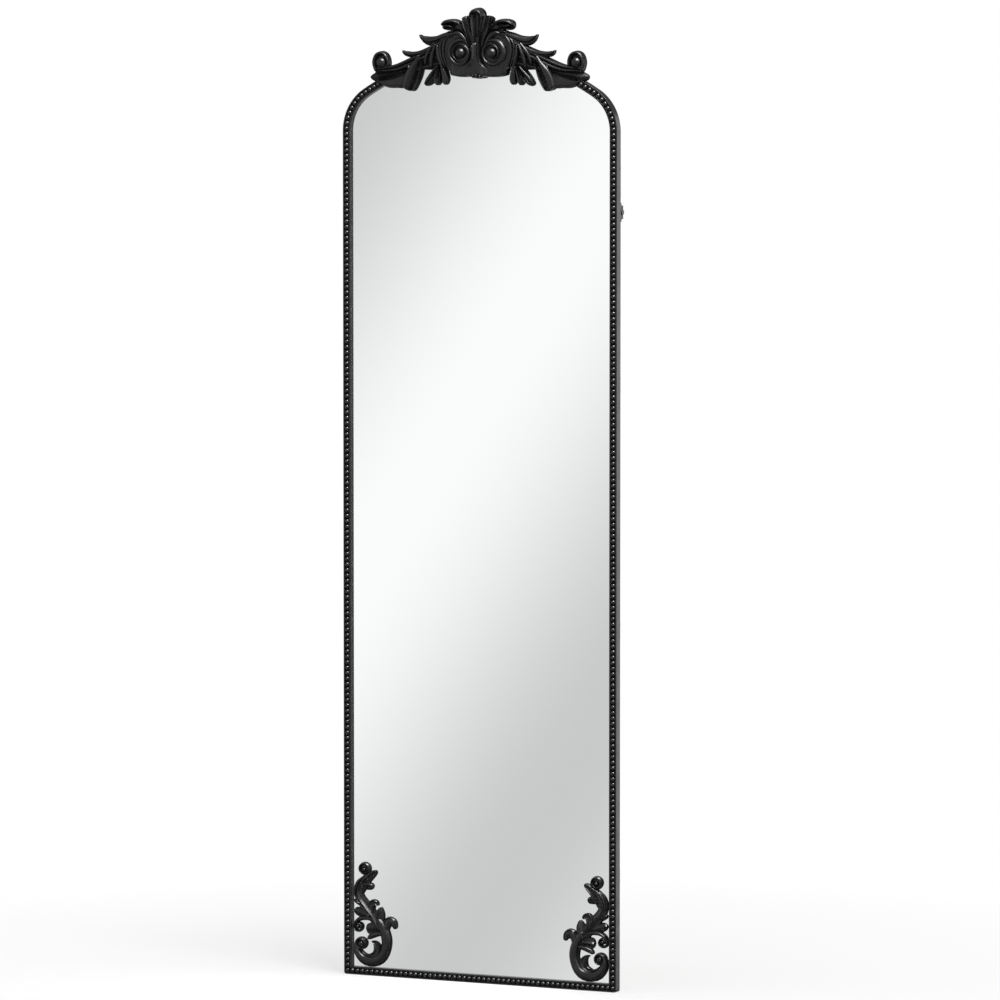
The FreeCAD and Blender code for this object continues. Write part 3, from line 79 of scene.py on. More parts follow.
# Places of the carvings: the crest's foot below the top of the arch, the corners' gap to the moulding
CREST_FOOT_DROP = 63 * MM
CORNER_GAP = 0.3 * MM

# Carved leaves in mm, on the right half of the crest: the section, then stations along the leaf.
# Each station gives the place across from the middle, the place up from the foot of the crest,
# half the leaf's width there and its share of the full relief.
CREST_LEAVES = {
    "side_flute": ("gouge", [
        (8, 74, 3.4, 0.66), (13, 91, 6.2, 0.72), (17.8, 107, 8, 0.74), (21.4, 121.5, 8.6, 0.66),
    ]),
    "curl_stem": ("gouge", [
        (16, 76, 2.6, 0.6), (23, 90, 4.2, 0.68), (31, 101, 5.4, 0.72), (40, 106.5, 5.6, 0.7),
        (48, 107, 3, 0.6),
    ]),
    "curl_head": ("hollow", [
        (29, 104, 4, 0.56), (38, 106.5, 8, 0.64), (49, 107.6, 9, 0.64), (59, 106.4, 8.4, 0.58),
        (66.2, 104.8, 5, 0.5),
    ]),
    "curl_lip": ("round", [
        (30.5, 109.4, 2.4, 0.64), (40, 112.4, 3.6, 0.76), (50, 113, 3.8, 0.79), (59, 111.2, 3.6, 0.74),
        (65.6, 106.4, 2.2, 0.62),
    ]),
    "curl_bud": ("round", [(44, 103.6, 1.6, 0.6), (52, 105, 2.6, 0.7), (60, 106.4, 1.8, 0.62)]),
    "frond_fold": ("round", [(40, 95.4, 1.6, 0.62), (48, 96.2, 2.2, 0.67), (55, 94.6, 1.2, 0.6)]),
    "tongue": ("lipped", [
        (13, 68, 2.6, 0.76), (18.6, 81, 5.4, 0.86), (26.5, 91, 7, 0.9), (36, 95, 6.8, 0.88),
        (44.5, 91.4, 3.6, 0.76),
    ]),
    "upper_frond": ("grooved", [
        (42, 92, 6, 0.6), (60, 88.3, 6.5, 0.6), (75, 82.8, 7, 0.57), (89, 80.6, 7.8, 0.53),
        (98, 83.4, 6, 0.5), (104, 87.4, 2.8, 0.46), (107, 91.2, 0.7, 0.42),
    ]),
    "lower_frond": ("grooved", [
        (62, 79, 4.4, 0.56), (78, 72, 5, 0.55), (93, 65.6, 5.2, 0.53), (108, 60.4, 5, 0.51),
        (122, 58.8, 4.8, 0.49), (131, 60, 4.6, 0.46), (136, 62.3, 2.8, 0.43), (138.6, 65.6, 0.7, 0.4),
    ]),
    "scroll_arm": ("two_reeds", [
        (78, 69, 3.6, 0.46), (98, 58.5, 6.4, 0.5), (124, 47, 7.6, 0.53), (150, 37.6, 6.6, 0.53),
        (175, 34.4, 4.4, 0.5), (190, 33, 3, 0.45),
    ]),
    "tail_leaf": ("keel", [
        (113, 38, 4, 0.36), (140, 31.2, 5, 0.44), (152, 28.4, 5.4, 0.46), (170, 25, 6.4, 0.45),
        (186, 22.4, 8, 0.42), (194, 22, 6, 0.38), (199.3, 22.6, 2.6, 0.32),
    ]),
    "long_leaf": ("lipped", [
        (126, 24, 8, 0.36), (139, 17.6, 13.4, 0.42), (152, 15, 11, 0.46), (165, 13.4, 9.2, 0.5),
        (176, 14, 6, 0.52), (184, 16.2, 1.4, 0.5),
    ]),
    "drop_leaf": ("cupped", [
        (105, 58, 4.6, 0.54), (111, 44, 9.6, 0.6), (118, 31, 14, 0.6), (124, 18, 14.8, 0.57),
        (128.6, 6.6, 13, 0.52), (131, 0.6, 9.6, 0.46),
    ]),
    "hanging_outer": ("hollow", [
        (73, 40, 3.4, 0.46), (82, 26, 7.4, 0.42), (92, 15, 6.8, 0.33), (99.6, 9.4, 3, 0.22),
    ]),
    "hanging_middle": ("gouge", [
        (70, 42, 2.8, 0.48), (74.4, 27, 5.4, 0.44), (76, 16, 5.8, 0.36), (75.6, 8.6, 3.4, 0.26),
    ]),
    "hanging_inner": ("round", [
        (67, 42, 3, 0.46), (63, 29, 5.6, 0.42), (61.4, 18, 6.6, 0.34), (63.6, 9.6, 4.6, 0.24),
    ]),
    "petal_outer": ("round", [(77, 79, 2.2, 0.56), (87, 67, 3.8, 0.6), (94, 55, 4, 0.54), (97, 42, 2, 0.4)]),
    "petal_middle": ("round", [
        (75, 77, 2.4, 0.6), (80.4, 64, 4, 0.64), (84.6, 51, 4.2, 0.57), (86, 37, 2.2, 0.42),
    ]),
    "petal_inner": ("round", [
        (72, 75, 2.4, 0.62), (71.6, 62, 3.8, 0.66), (68.6, 49, 4, 0.6), (63.6, 36, 2, 0.5),
    ]),
    "skirt_outer": ("round", [
        (58, 88, 2.2, 0.56), (66, 77, 3, 0.6), (67.4, 63, 3, 0.6), (64.4, 50, 2.8, 0.55),
        (59, 38, 1.6, 0.46),
    ]),
    "skirt_inner": ("round", [
        (50, 91, 2.4, 0.58), (59, 80, 3.2, 0.63), (61.8, 65, 3.2, 0.63), (59.4, 50, 3, 0.58),
        (54.6, 38, 1.6, 0.5),
    ]),
    "end_loop": ("round", [
        (164.4, 39, 2.6, 0.48), (164.6, 49, 3, 0.53), (169.2, 58.4, 3.2, 0.56), (177.6, 61.8, 3.2, 0.57),
        (186, 58.4, 3.4, 0.57), (190.3, 49, 3.4, 0.56), (190, 40, 3.2, 0.53), (187, 31, 2.6, 0.46),
    ]),
    "end_back": ("pillow", [(177.6, 32, 12.6, 0.3), (177.6, 47, 13, 0.32), (177.6, 59, 8, 0.32)]),
    "cheek": ("pillow", [
        (27, 21.8, 21, 0.5), (27, 28, 25.8, 0.56), (27.4, 44, 28.6, 0.59), (28.6, 61, 29.4, 0.6),
        (30, 74, 25, 0.56), (32, 83, 16, 0.48),
    ]),
}
CREST_MIDDLE = {
    "tall_flute": ("gouge", [
        (0, 74, 5.4, 0.74), (0, 92, 8.2, 0.84), (0, 108, 11, 0.86), (0, 119, 12.6, 0.84),
        (0, 127, 11.4, 0.8),
    ]),
    "pedestal": ("bell", [
        (0, 79, 5.6, 0.86), (0, 65, 7, 0.94), (0, 53, 9, 0.96), (0, 45, 13.4, 0.92), (0, 39, 20, 0.86),
        (0, 35, 22.4, 0.82), (0, 28, 22.4, 0.77), (0, 22, 22.2, 0.7),
    ]),
    "foot_middle": ("round", [(0, 28, 2.4, 0.7), (0, 23.4, 3.6, 0.75), (0, 19.2, 2.4, 0.62)]),
    "foot_left": ("round", [(-5.2, 26.4, 2, 0.68), (-6.6, 23, 3, 0.71), (-7.4, 20, 2, 0.6)]),
    "foot_right": ("round", [(5.2, 26.4, 2, 0.68), (6.6, 23, 3, 0.71), (7.4, 20, 2, 0.6)]),
}
# Flat grounds between the leaves: share of the relief, outline from the middle out and up
CREST_GROUND = (0.44, [
    (0, 25), (40, 25), (52, 33), (62, 50), (70, 74), (66, 88), (50, 97), (38, 105), (29, 108.5),
    (22, 107), (10, 92), (0, 86),
])
# The wing ground gets the groove finish, painted shade in the gaps between the side leaves
CREST_WING = (0.24, [
    (56, 92), (74, 86), (90, 71), (109, 64), (127, 52), (150, 41), (178, 36), (190, 30), (182, 17),
    (164, 10), (138, 10), (112, 42), (98, 34), (84, 33.6), (70, 38), (56, 38),
])
# Spiral bands: centre, radii, first angle and turn in degrees, half widths and shares of the relief,
# with radii, half widths and shares given at even steps along the band
CREST_SCROLLS = {
    "volute_band": (
        (28.5, 61.5), (20, 21, 19, 16.2, 14.2, 13, 11.6), (128, -578), (5.4, 6.6, 6, 4.6, 3.2, 2.4, 1.2),
        (0.62, 0.74, 0.78, 0.82, 0.84, 0.86, 0.84),
    ),
}
CREST_HOOD = {
    "hood": (
        (0, 121.4), (11, 9.8, 8.4, 9.8, 11), (212, -244), (1.8, 3.4, 5.2, 3.4, 1.8),
        (0.84, 0.92, 0.95, 0.92, 0.84),
    ),
}
# Round bosses: centre, radius, share of the relief at the foot and at the top
CREST_BOSSES = {
    "volute_eye": ((28.5, 61.5), 9.8, 0.5, 1),
    "end_scroll_eye": ((177.6, 46.4), 9.6, 0.2, 0.66),
}

# The right corner carving: in from the sight edge of the stile, up from that of the rail
CORNER_LEAVES = {
    "neck": ("two_flutes", [
        (22, 146, 6, 0.74), (14.4, 137, 8.6, 0.82), (11, 126, 8.8, 0.86), (14.4, 114, 8.8, 0.9),
        (25, 101, 9.6, 0.92), (37, 87, 10, 0.92), (47, 72, 8.4, 0.88), (54, 58, 4, 0.8),
    ]),
    "c_scroll": ("banded", [
        (47, 82, 5, 0.76), (56.4, 67, 8.6, 0.94), (62.4, 52, 9.4, 1), (63.3, 38, 9.2, 1),
        (57.6, 22.6, 9.9, 1), (48, 13.6, 10.5, 1), (36, 10.8, 10.4, 1), (22, 13, 9.8, 1),
        (11.4, 23, 8, 0.97), (7.8, 34, 5, 0.92), (8.6, 40.6, 3, 0.86),
    ]),
    "tip_leaf": ("hollow", [
        (13, 122, 7, 0.72), (20, 136.5, 8.8, 0.78), (29, 147.4, 7.8, 0.76), (36.6, 153.8, 6.6, 0.68),
        (42, 157.8, 4.6, 0.58), (45.4, 160.2, 2.2, 0.5),
    ]),
    "head_ridge": ("round", [
        (6, 118, 2, 0.72), (7.4, 130, 2.8, 0.82), (12.6, 140.6, 3.2, 0.86), (19.6, 148, 3, 0.82),
        (26.6, 153.4, 1.8, 0.7),
    ]),
    "side_lobe": ("hollow", [
        (15, 135, 5.6, 0.72), (25, 134.6, 6.4, 0.76), (33.6, 134.2, 6.2, 0.74), (39.4, 133, 4.6, 0.6),
    ]),
    "upper_curl": ("gouge", [
        (35, 84, 6, 0.78), (35, 98, 6.5, 0.84), (37.4, 106, 6.4, 0.84), (43.6, 107.2, 4.8, 0.76),
        (47.8, 103, 2.2, 0.58),
    ]),
    "pointed_leaf": ("two_flutes", [
        (46.6, 66, 6, 0.84), (50.6, 81, 8.8, 0.86), (52, 92.4, 7.6, 0.76), (53.4, 100.8, 1.8, 0.56),
    ]),
    "hook_leaf": ("lipped", [
        (61, 52, 5, 0.9), (62, 66, 7.4, 0.92), (67.6, 77.4, 8, 0.88), (75.4, 76.4, 7.2, 0.82),
        (78.6, 69.6, 5, 0.68), (78, 65.4, 3, 0.54),
    ]),
    "back_leaf": ("keel", [
        (34, 85, 6.2, 0.72), (20, 89, 8.4, 0.68), (9, 92, 7, 0.62), (2.8, 93.4, 3.8, 0.5),
    ]),
    "back_lobe": ("keel", [(17, 104, 5, 0.72), (9, 108.4, 5, 0.66), (3, 110.4, 3.2, 0.5)]),
    "small_arm": ("round", [
        (42, 78.4, 4.2, 0.76), (30, 81.4, 4.3, 0.8), (18, 80.6, 4.1, 0.8), (8.8, 76, 3.4, 0.8),
        (4.6, 69.2, 2.6, 0.76),
    ]),
    "fan_top": ("round", [(54, 70, 4, 0.72), (45, 75, 4.8, 0.76), (36.6, 76, 3.8, 0.6)]),
    "fan_lobe": ("two_flutes", [
        (57, 66, 5.6, 0.76), (45, 65, 8.6, 0.82), (33, 64, 9.4, 0.78), (25.4, 63.4, 6.6, 0.62),
    ]),
    "fan_foot": ("round", [
        (57, 58, 4, 0.74), (45, 55.6, 5.2, 0.76), (35, 51.6, 5, 0.66), (28.8, 46.6, 2.8, 0.52),
    ]),
    "crescent": ("gouge", [
        (32, 19, 3, 0.7), (41, 21.6, 5, 0.8), (46.4, 28, 6.8, 0.86), (45.8, 35.6, 6, 0.82),
        (41.6, 41, 3.4, 0.7), (36, 43.2, 0.7, 0.5),
    ]),
}
CORNER_SCROLLS = {
    "small_scroll_band": ((11.4, 66.6), (8, 5.2), (150, 400), (2.2, 2.6, 2.2, 1.4), (0.72, 0.78, 0.8)),
    "top_scroll_band": ((23, 163), (9.2, 8.8, 6.2), (-50, 440), (2, 2.4, 2, 1.3), (0.66, 0.76, 0.7)),
    "low_scroll_band": ((16.6, 38), (9, 8.6, 6.6), (215, -400), (3, 2.8, 2.4, 1.4), (0.9, 0.88, 0.8)),
}
CORNER_BOSSES = {
    "top_disc": ((23, 163.4), 11.2, 0.1, 0.16),
    "top_eye": ((23, 161.8), 4, 0.2, 0.84),
    "low_disc": ((16.6, 38), 9.6, 0.1, 0.4),
    "low_eye": ((17, 37.6), 5.8, 0.3, 0.92),
    "small_eye": ((11.4, 66.6), 3.8, 0.3, 0.88),
}

# Fineness of the carved forms, and the longest rounding of a leaf's end in mm
SECTION_POINTS = 25
LEAF_ROWS = 32
SCROLL_ROWS = 90
END_ROUND = 4
# Rows of faces along each edge of a form that get the groove finish, painted shade for the groove beside it
EDGE_COLUMNS = 3
# Where the forms start to roll down to their edges, as a share of the half width
CREST_ROLL = 0.55
CORNER_ROLL = 0.2

# Steps of the turns, and sides of the round pieces
SHOULDER_STEPS = 28
ARCH_STEPS = 64
STRIP_SHOULDER_STEPS = 20
STRIP_ARCH_STEPS = 8
CORNER_CUTS = 4
BEAD_SIDES, BEAD_RINGS = 14, 8
BOSS_SIDES, BOSS_RINGS = 40, 20
TUBE_SIDES, TUBE_BEND_STEPS = 28, 14
SLEEVE_SIDES = 32
# The shoulder's bead strip ends under the crest, at this angle from the middle of the arch
STRIP_END_ANGLE = math.radians(26)
MERGE_DISTANCE = 1e-7
# Largest angles in degrees between faces that are shaded as one
MOULDING_SHADE, CARVING_SHADE, TUBE_SHADE = 50, 48, 40

# Paints by slot: lowest and highest roughness, scale of the clouds and of the peel, strength and
# depth of the peel, brightness of the worn colour, specular level
PAINTS = {
    "frame_black": (0.22, 0.32, 35, 1400, (0.06, 0.0001), 1.6, 0.28),
    "bead_black": (0.19, 0.24, 60, 1600, (0.04, 0.0001), 1.6, 0.47),
    # groove: painted shade, a darker and duller paint for faces where shade falls in grooves and between the
    # beads
    "groove": (0.45, 0.55, 60, 1600, (0.04, 0.0001), 1.6, 0.04),
    "carving_black": (0.22, 0.32, 45, 1100, (0.08, 0.0002), 1.6, 0.3),
    "stand_black": (0.42, 0.55, 60, 2200, (0.5, 0.0002), 1.3, 0.5),
    "steel_black": (0.34, 0.46, 90, 2200, (0.2, 0.0001), 1.3, 0.5),
    "rubber_black": (0.6, 0.78, 80, 1800, (0.3, 0.0002), 1.5, 0.5),
}
# Metals by slot: lowest and highest roughness, scale of the spangle
METALS = {"steel_zinc": (0.34, 0.5, 220), "key_aluminium": (0.3, 0.45, 260)}
METAL_BUMP = (0.15, 0.0001)
METAL_DULL = 0.8
# Sheets by slot: brightness of the fibres, scale of the fibres
SHEETS = {"board_brown": (0.6, 420), "foam_white": (0.9, 900), "pad_grey": (0.8, 900)}
SHEET_BUMP = (0.35, 0.0004)

LIGHT_AIM = Vector((0, 0, 0.9))
# Cards that only gloss sees: place, width and height, brightness
GLOSS_CARDS = {
    "right_card": ((3.3, -1.0, 2.3), (2.4, 2.4), 22),
    "overhead_card": ((1.3, -1.3, 4.2), (2.2, 2.2), 34),
    "sky_card": ((0.3, -0.6, 4.7), (4.6, 4.6), 1.8),
    "rear_card": ((2.1, 3.8, 1.0), (1.3, 3.2), 2.4),
}
# Lamps: place, width, power in watts
LAMPS = {
    "overhead_softbox": ((1.2, -1.0, 4.2), 1.0, 60),
    "right_softbox": ((3.4, -1.0, 2.2), 0.9, 35),
    "left_softbox": ((-3.2, -1.8, 1.8), 1.2, 20),
    "rear_softbox": ((2.0, 4.0, 0.9), 2.2, 9),
}
# The studio card is the front of a drum, with waves of light that slant across it
CARD_RADIUS, CARD_HEIGHT, CARD_MIDDLE, CARD_BACK = 3, 4.4, 1.1, 0.4
CARD_SIDES = 96
BAND_SLANT = (-1.75, 0, 1)
BAND_SPACING, BAND_START = 2.25, 3.19
BAND_SWING, BAND_LEVEL = 0.21, 0.83
# The card is brightest in one direction; the fade gives two levels and the places where they start
CARD_FACING = (-0.15, -0.298, 0)
CARD_FADE = (0.5, 1, (0.42, 0.8))
# The floor glows to the camera: two levels and the distances from the middle where they start
FLOOR_SIZE = 30
FLOOR_GLOW = (0.6, 1, (0.3, 1.4))
SENSOR_WIDTH, CLIP_END = 36, 100


def number_prop(name, description, default, **kind):
    return bpy.props.FloatProperty(name=name, description=description, default=default, **kind)


def length_prop(name, description, default):
    return number_prop(name, description, default, unit="LENGTH")


def vector_prop(name, description, default, **kind):
    return bpy.props.FloatVectorProperty(name=name, description=description, default=default, **kind)


def colour_prop(name, description, default):
    return vector_prop(name, description, default, subtype="COLOR")


class MirrorFrameSizes(bpy.types.PropertyGroup):
    """Sizes of the moulding, its beads and the stand."""

    shoulder_radius: length_prop("Shoulder Radius", "Outer radius of each shoulder", 80 * MM)
    arch_radius: length_prop("Arch Radius", "Outer radius of the arch over the shoulders", 400 * MM)
    corner_round: length_prop("Corner Round", "Radius of the two outer bottom corners", 4.4 * MM)
    edge_round: length_prop("Edge Round", "Rounding of the moulding's edges", 0.4 * MM)
    bead_pitch: length_prop("Bead Pitch", "Distance from bead to bead", 9 * MM)
    bead_radius: length_prop("Bead Radius", "Radius of a bead at its foot", 4 * MM)
    bead_rise: length_prop("Bead Rise", "Height of a bead over its strip", 3.8 * MM)
    bead_line: length_prop("Bead Line", "Distance of the beads from the outer edge", 6.5 * MM)
    tube_radius: length_prop("Tube Radius", "Outer radius of the stand's tube", 5 * MM)
    tube_bend: length_prop("Tube Bend", "Radius of the tube's two bends", 40 * MM)
    sleeve_edge: length_prop("Sleeve Edge", "Rounding of a foot sleeve's ends", 0.6 * MM)
    sleeve_groove: length_prop("Sleeve Groove", "Width of a groove between a foot sleeve's ribs", 1.5 * MM)
    sleeve_ribs: bpy.props.IntProperty(
        name="Sleeve Ribs", description="Number of ribs on each foot sleeve", default=12
    )


class MirrorFinishes(bpy.types.PropertyGroup):
    """Colours of the finishes, by slot."""

    frame_black: colour_prop("Frame Black", "Satin paint of the moulding", (0.007, 0.007, 0.008))
    bead_black: colour_prop("Bead Black", "Gloss paint of the beads", (0.006, 0.006, 0.007))
    # Painted shade: the groove colour stands for the shade in grooves, between the beads and behind the
    # leaves
    groove: colour_prop("Groove", "Dull paint in the grooves and between the beads", (0.004, 0.004, 0.0042))
    carving_black: colour_prop("Carving Black", "Paint of the carvings", (0.007, 0.007, 0.008))
    stand_black: colour_prop("Stand Black", "Powder coat of the stand", (0.018, 0.018, 0.019))
    steel_black: colour_prop("Steel Black", "Black plating of the hinge's screws", (0.02, 0.02, 0.021))
    mirror: colour_prop("Mirror", "Silvering of the glass", (0.93, 0.94, 0.94))
    board_brown: colour_prop("Board Brown", "Fibreboard of the back", (0.33, 0.22, 0.135))
    steel_zinc: colour_prop("Steel Zinc", "Zinc plate of clips and screws", (0.52, 0.53, 0.55))
    key_aluminium: colour_prop("Key Aluminium", "Mill finish of the joint keys", (0.74, 0.75, 0.76))
    rubber_black: colour_prop("Rubber Black", "Rubber of sleeves and bumpers", (0.022, 0.022, 0.022))
    foam_white: colour_prop("Foam White", "Foam sheet behind the glass", (0.84, 0.84, 0.82))
    pad_grey: colour_prop("Pad Grey", "Adhesive pads", (0.38, 0.38, 0.38))


class MirrorStage(bpy.types.PropertyGroup):
    """Camera, light and floor."""

    turn: number_prop(
        "Camera Turn", "Camera's turn to the right of the front", math.radians(26.675), subtype="ANGLE"
    )
    tilt: number_prop("Camera Tilt", "Camera's angle above the level", math.radians(3.772), subtype="ANGLE")
    distance: length_prop("Camera Distance", "Camera's distance from the mirror", 10.521)
    lens: number_prop("Lens", "Focal length in millimetres", 231.61)
    aim: vector_prop(
        "Aim", "Point that the camera's turn and distance start from", (0, -0.008, 0.8), subtype="XYZ",
        unit="LENGTH",
    )
    nudge: vector_prop(
        "Nudge", "Picture's centre to the right of the aim and above it", (0.0352, -0.00423), size=2,
        unit="LENGTH",
    )
    daylight: number_prop("Daylight", "Soft light from all around", 0.5)
    gloss_share: number_prop("Gloss Share", "Share of the daylight that gloss shows", 0.5, subtype="FACTOR")
    floor: colour_prop("Floor", "Colour of the floor", (0.93, 0.93, 0.93))


# Selecting and finishing


def fresh():
    """Leave edit mode and deselect everything."""
    if bpy.context.object and bpy.context.object.mode != "OBJECT":
        bpy.ops.object.mode_set(mode="OBJECT")
    bpy.ops.object.select_all(action="DESELECT")


def only(piece):
    fresh()
    piece.select_set(True)
    bpy.context.view_layer.objects.active = piece


def started(name):
    """Name the primitive just added."""
    piece = bpy.context.object
    piece.name = name
    piece.data.name = name
    return piece


def open_up(piece):
    """Go into edit mode with all of a piece selected."""
    only(piece)
    bpy.ops.object.mode_set(mode="EDIT")
    bpy.ops.mesh.select_all(action="SELECT")


def face_outwards():
    """In edit mode, turn all faces outwards, then leave."""
    bpy.ops.mesh.select_all(action="SELECT")
    bpy.ops.mesh.normals_make_consistent(inside=False)
    bpy.ops.object.mode_set(mode="OBJECT")


def close_up():
    """In edit mode, merge doubles and turn all faces outwards, then leave."""
    bpy.ops.mesh.select_all(action="SELECT")
    bpy.ops.mesh.remove_doubles(threshold=MERGE_DISTANCE)
    face_outwards()


def join(name, pieces):
    only(pieces[0])
    for piece in pieces:
        piece.select_set(True)
    bpy.ops.object.join()
    return started(name)


def mirrored_copy(piece, name):
    """Copy a piece to the other side of the middle."""
    only(piece)
    bpy.ops.object.duplicate()
    copy = started(name)
    open_up(copy)
    bpy.ops.transform.resize(value=(-1, 1, 1), center_override=(0, 0, 0))
    face_outwards()
    return copy


def pair(right, node):
    """A piece of the right side and its copy on the left, by the CAD nodes that they stand for."""
    left = mirrored_copy(right, right.name.replace("right", "left"))
    return {node: right, node.replace("right", "left"): left}


def apply_modifier(piece, kind, **settings):
    only(piece)
    modifier = piece.modifiers.new(kind.title(), kind)
    for key, value in settings.items():
        setattr(modifier, key, value)
    bpy.ops.object.modifier_apply(modifier=modifier.name)


def soften(piece, width):
    """Round the sharp edges of a piece."""
    sharp = math.radians(30)
    apply_modifier(piece, "BEVEL", width=width, segments=2, limit_method="ANGLE", angle_limit=sharp)
    shade(piece, MOULDING_SHADE)
    apply_modifier(piece, "WEIGHTED_NORMAL", keep_sharp=True)


def shade(piece, degrees):
    only(piece)
    bpy.ops.object.shade_smooth_by_angle(angle=math.radians(degrees))


def finish_of(slot):
    return bpy.data.materials[f"{slot}_finish"]


def two_finishes(piece, main, shaded, in_shade):
    """Give a piece its finish, and a second one, painted shade, to the faces that lie in its grooves."""
    piece.data.materials.append(finish_of(main))
    piece.data.materials.append(finish_of(shaded))
    for face in piece.data.polygons:
        face.material_index = int(in_shade(face))


def settle(piece, slot, body, node):
    """Give a finished piece its finish where it has none and its body, and hide the CAD node that it stands
    for.
    """
    if not piece.data.materials:
        piece.data.materials.append(finish_of(slot))
    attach(piece, body)
    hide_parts(node)


def settle_all(pieces, angle, slot, body):
    """Shade the pieces that stand for these CAD nodes and settle them."""
    for node, piece in pieces.items():
        shade(piece, angle)
        settle(piece, slot, body, node)


# Sweeps and cuts


def run(offset):
    return lambda: bpy.ops.mesh.extrude_region_move(TRANSFORM_OT_translate={"value": offset})


def turn(angle, steps, centre):
    return lambda: bpy.ops.mesh.spin(steps=steps, angle=angle, center=centre, axis=(0, 1, 0))


def around(sides):
    """Angles of the corners of a round outline."""
    return [number * math.tau / sides for number in range(sides)]


def upright(outline, height):
    """Corners of a right-hand outline that is carried upwards from a height."""
    return [(HALF_WIDTH - inset * MM, depth * MM, height) for inset, depth in outline]


def lying(outline, start):
    """Corners of an outline on the bottom rail that is carried to the right from a place."""
    return [(start, depth * MM, inset * MM) for inset, depth in outline]


def sweep(name, corners, moves):
    """Carry a closed outline along runs and turns and cap both ends."""
    fresh()
    bpy.ops.mesh.primitive_circle_add(vertices=len(corners), fill_type="NOTHING")
    piece = started(name)
    for vertex, corner in zip(piece.data.vertices, corners):
        vertex.co = corner
    open_up(piece)
    for move in moves:
        move()
    bpy.ops.mesh.select_all(action="SELECT")
    bpy.ops.mesh.fill_holes(sides=0)
    close_up()
    return piece


def trim(piece, point, normal):
    """Cut away what lies in front of a plane and close the cut."""
    open_up(piece)
    bpy.ops.mesh.bisect(plane_co=point, plane_no=normal, use_fill=True, clear_outer=True)
    close_up()


def trim_open(piece, point, normal):
    """Cut away what lies in front of a plane and leave the cut open."""
    open_up(piece)
    bpy.ops.mesh.bisect(plane_co=point, plane_no=normal, clear_outer=True)
    bpy.ops.object.mode_set(mode="OBJECT")


def ball(name, sides, rings, radius):
    """Ball with its poles at the front and the back."""
    fresh()
    facing = (QUARTER_TURN, 0, 0)
    bpy.ops.mesh.primitive_uv_sphere_add(segments=sides, ring_count=rings, radius=radius, rotation=facing)
    piece = started(name)
    bpy.ops.object.transform_apply(location=False, rotation=True, scale=False)
    return piece


def arch_facts(sizes):
    """Place of a shoulder's centre, height of the arch's, turn of the shoulder, half that of the arch."""
    place = HALF_WIDTH - sizes.shoulder_radius
    step = sizes.arch_radius - sizes.shoulder_radius
    crown = STILE_HEAD - math.sqrt(step * step - place * place)
    arch_half = math.asin(place / step)
    return place, crown, QUARTER_TURN - arch_half, arch_half


def arch_point(sizes, along):
    """Point of the bead line a distance along from the head of the right stile."""
    place, crown, shoulder_turn = arch_facts(sizes)[:3]
    near = sizes.shoulder_radius - sizes.bead_line
    far = sizes.arch_radius - sizes.bead_line
    if along < near * shoulder_turn:
        angle = along / near
        return Vector((place + near * math.cos(angle), 0, STILE_HEAD + near * math.sin(angle)))
    angle = shoulder_turn + (along - near * shoulder_turn) / far
    return Vector((far * math.cos(angle), 0, crown + far * math.sin(angle)))


# Sections of the carved forms: height at a place across, from -1 at one edge to 1 at the other


def rounding(place, foot):
    """Height of a rounded edge, from 1 where it starts to the foot where it ends."""
    return foot + (1 - foot) * math.sqrt(max(0.0, 1 - place * place))


def trough(depth, reach, shift=0.0):
    """Hollow between two raised rims."""
    return lambda across: 1 - depth * max(0.0, 1 - ((across + shift) / reach) ** 2)


def crowned(fall, power):
    """Highest in the middle, as a sharp ridge where the power is small and flat where it is large."""
    return lambda across: 1 - fall * abs(across) ** power


def channelled(fall, crown, depth, place, width):
    """Swelling with a narrow groove below its crown."""
    return lambda across: (
        1 - fall * (across - crown) ** 2 - depth * math.exp(-(((across - place) / width) ** 2))
    )


def two_reeds(across, ground=0.46, swell=0.14, strand=0.4, fullness=0.8):
    """Two rounded strands side by side."""
    wave = abs(math.sin(math.pi * (across + 1)))
    return ground + swell * (1 - across * across) + strand * wave ** fullness


def two_flutes(across, depth=0.46, fall=0.2):
    """Two hollow channels with a sharp ridge between them."""
    return 1 - depth * abs(math.sin(math.pi * (across + 1))) - fall * across * across


def hump(across, place, width, height, fall):
    """Height of a rounded ridge that has fallen by a given amount at its width."""
    return height - fall * ((across - place) / width) ** 2


def cupped(across, swell_place=0.3, hollow_width=0.72, floor=0.12):
    """Thin rim on one side, a deep hollow, then a broad swelling."""
    rim = hump(across, place=-0.8, width=0.2, height=0.9, fall=0.6)
    if across < swell_place:
        swell = 1 - 0.85 * min(1.0, (swell_place - across) / hollow_width) ** 1.5
    else:
        swell = hump(across, place=swell_place, width=1 - swell_place, height=1, fall=0.4)
    return max(rim, swell, floor)


def lipped(across):
    """Broad swelling with a raised lip along one side."""
    lip = hump(across, place=0.78, width=0.14, height=1, fall=0.5)
    return max(lip, hump(across, place=-0.1, width=0.9, height=0.84, fall=0.4))


SECTIONS = {
    "gouge": trough(depth=0.62, reach=0.78),
    "hollow": trough(depth=0.72, reach=0.6, shift=0.22),
    "bell": trough(depth=0.24, reach=0.7),
    "keel": crowned(fall=0.56, power=0.75),
    "domed": crowned(fall=0.5, power=2),
    "pillow": crowned(fall=0.3, power=3),
    "round": lambda across: rounding(across, 0.35),
    "grooved": channelled(fall=0.25, crown=0, depth=0.45, place=-0.3, width=0.13),
    "banded": channelled(fall=0.34, crown=0.1, depth=0.4, place=-0.66, width=0.1),
    "two_reeds": two_reeds,
    "two_flutes": two_flutes,
    "cupped": cupped,
    "lipped": lipped,
}


def rolled_edge(across, start, foot=0.1):
    """Share of the height that is left where a form rolls down to its two edges."""
    return rounding(max(0.0, (abs(across) - start) / (1 - start)), foot)


# Carving


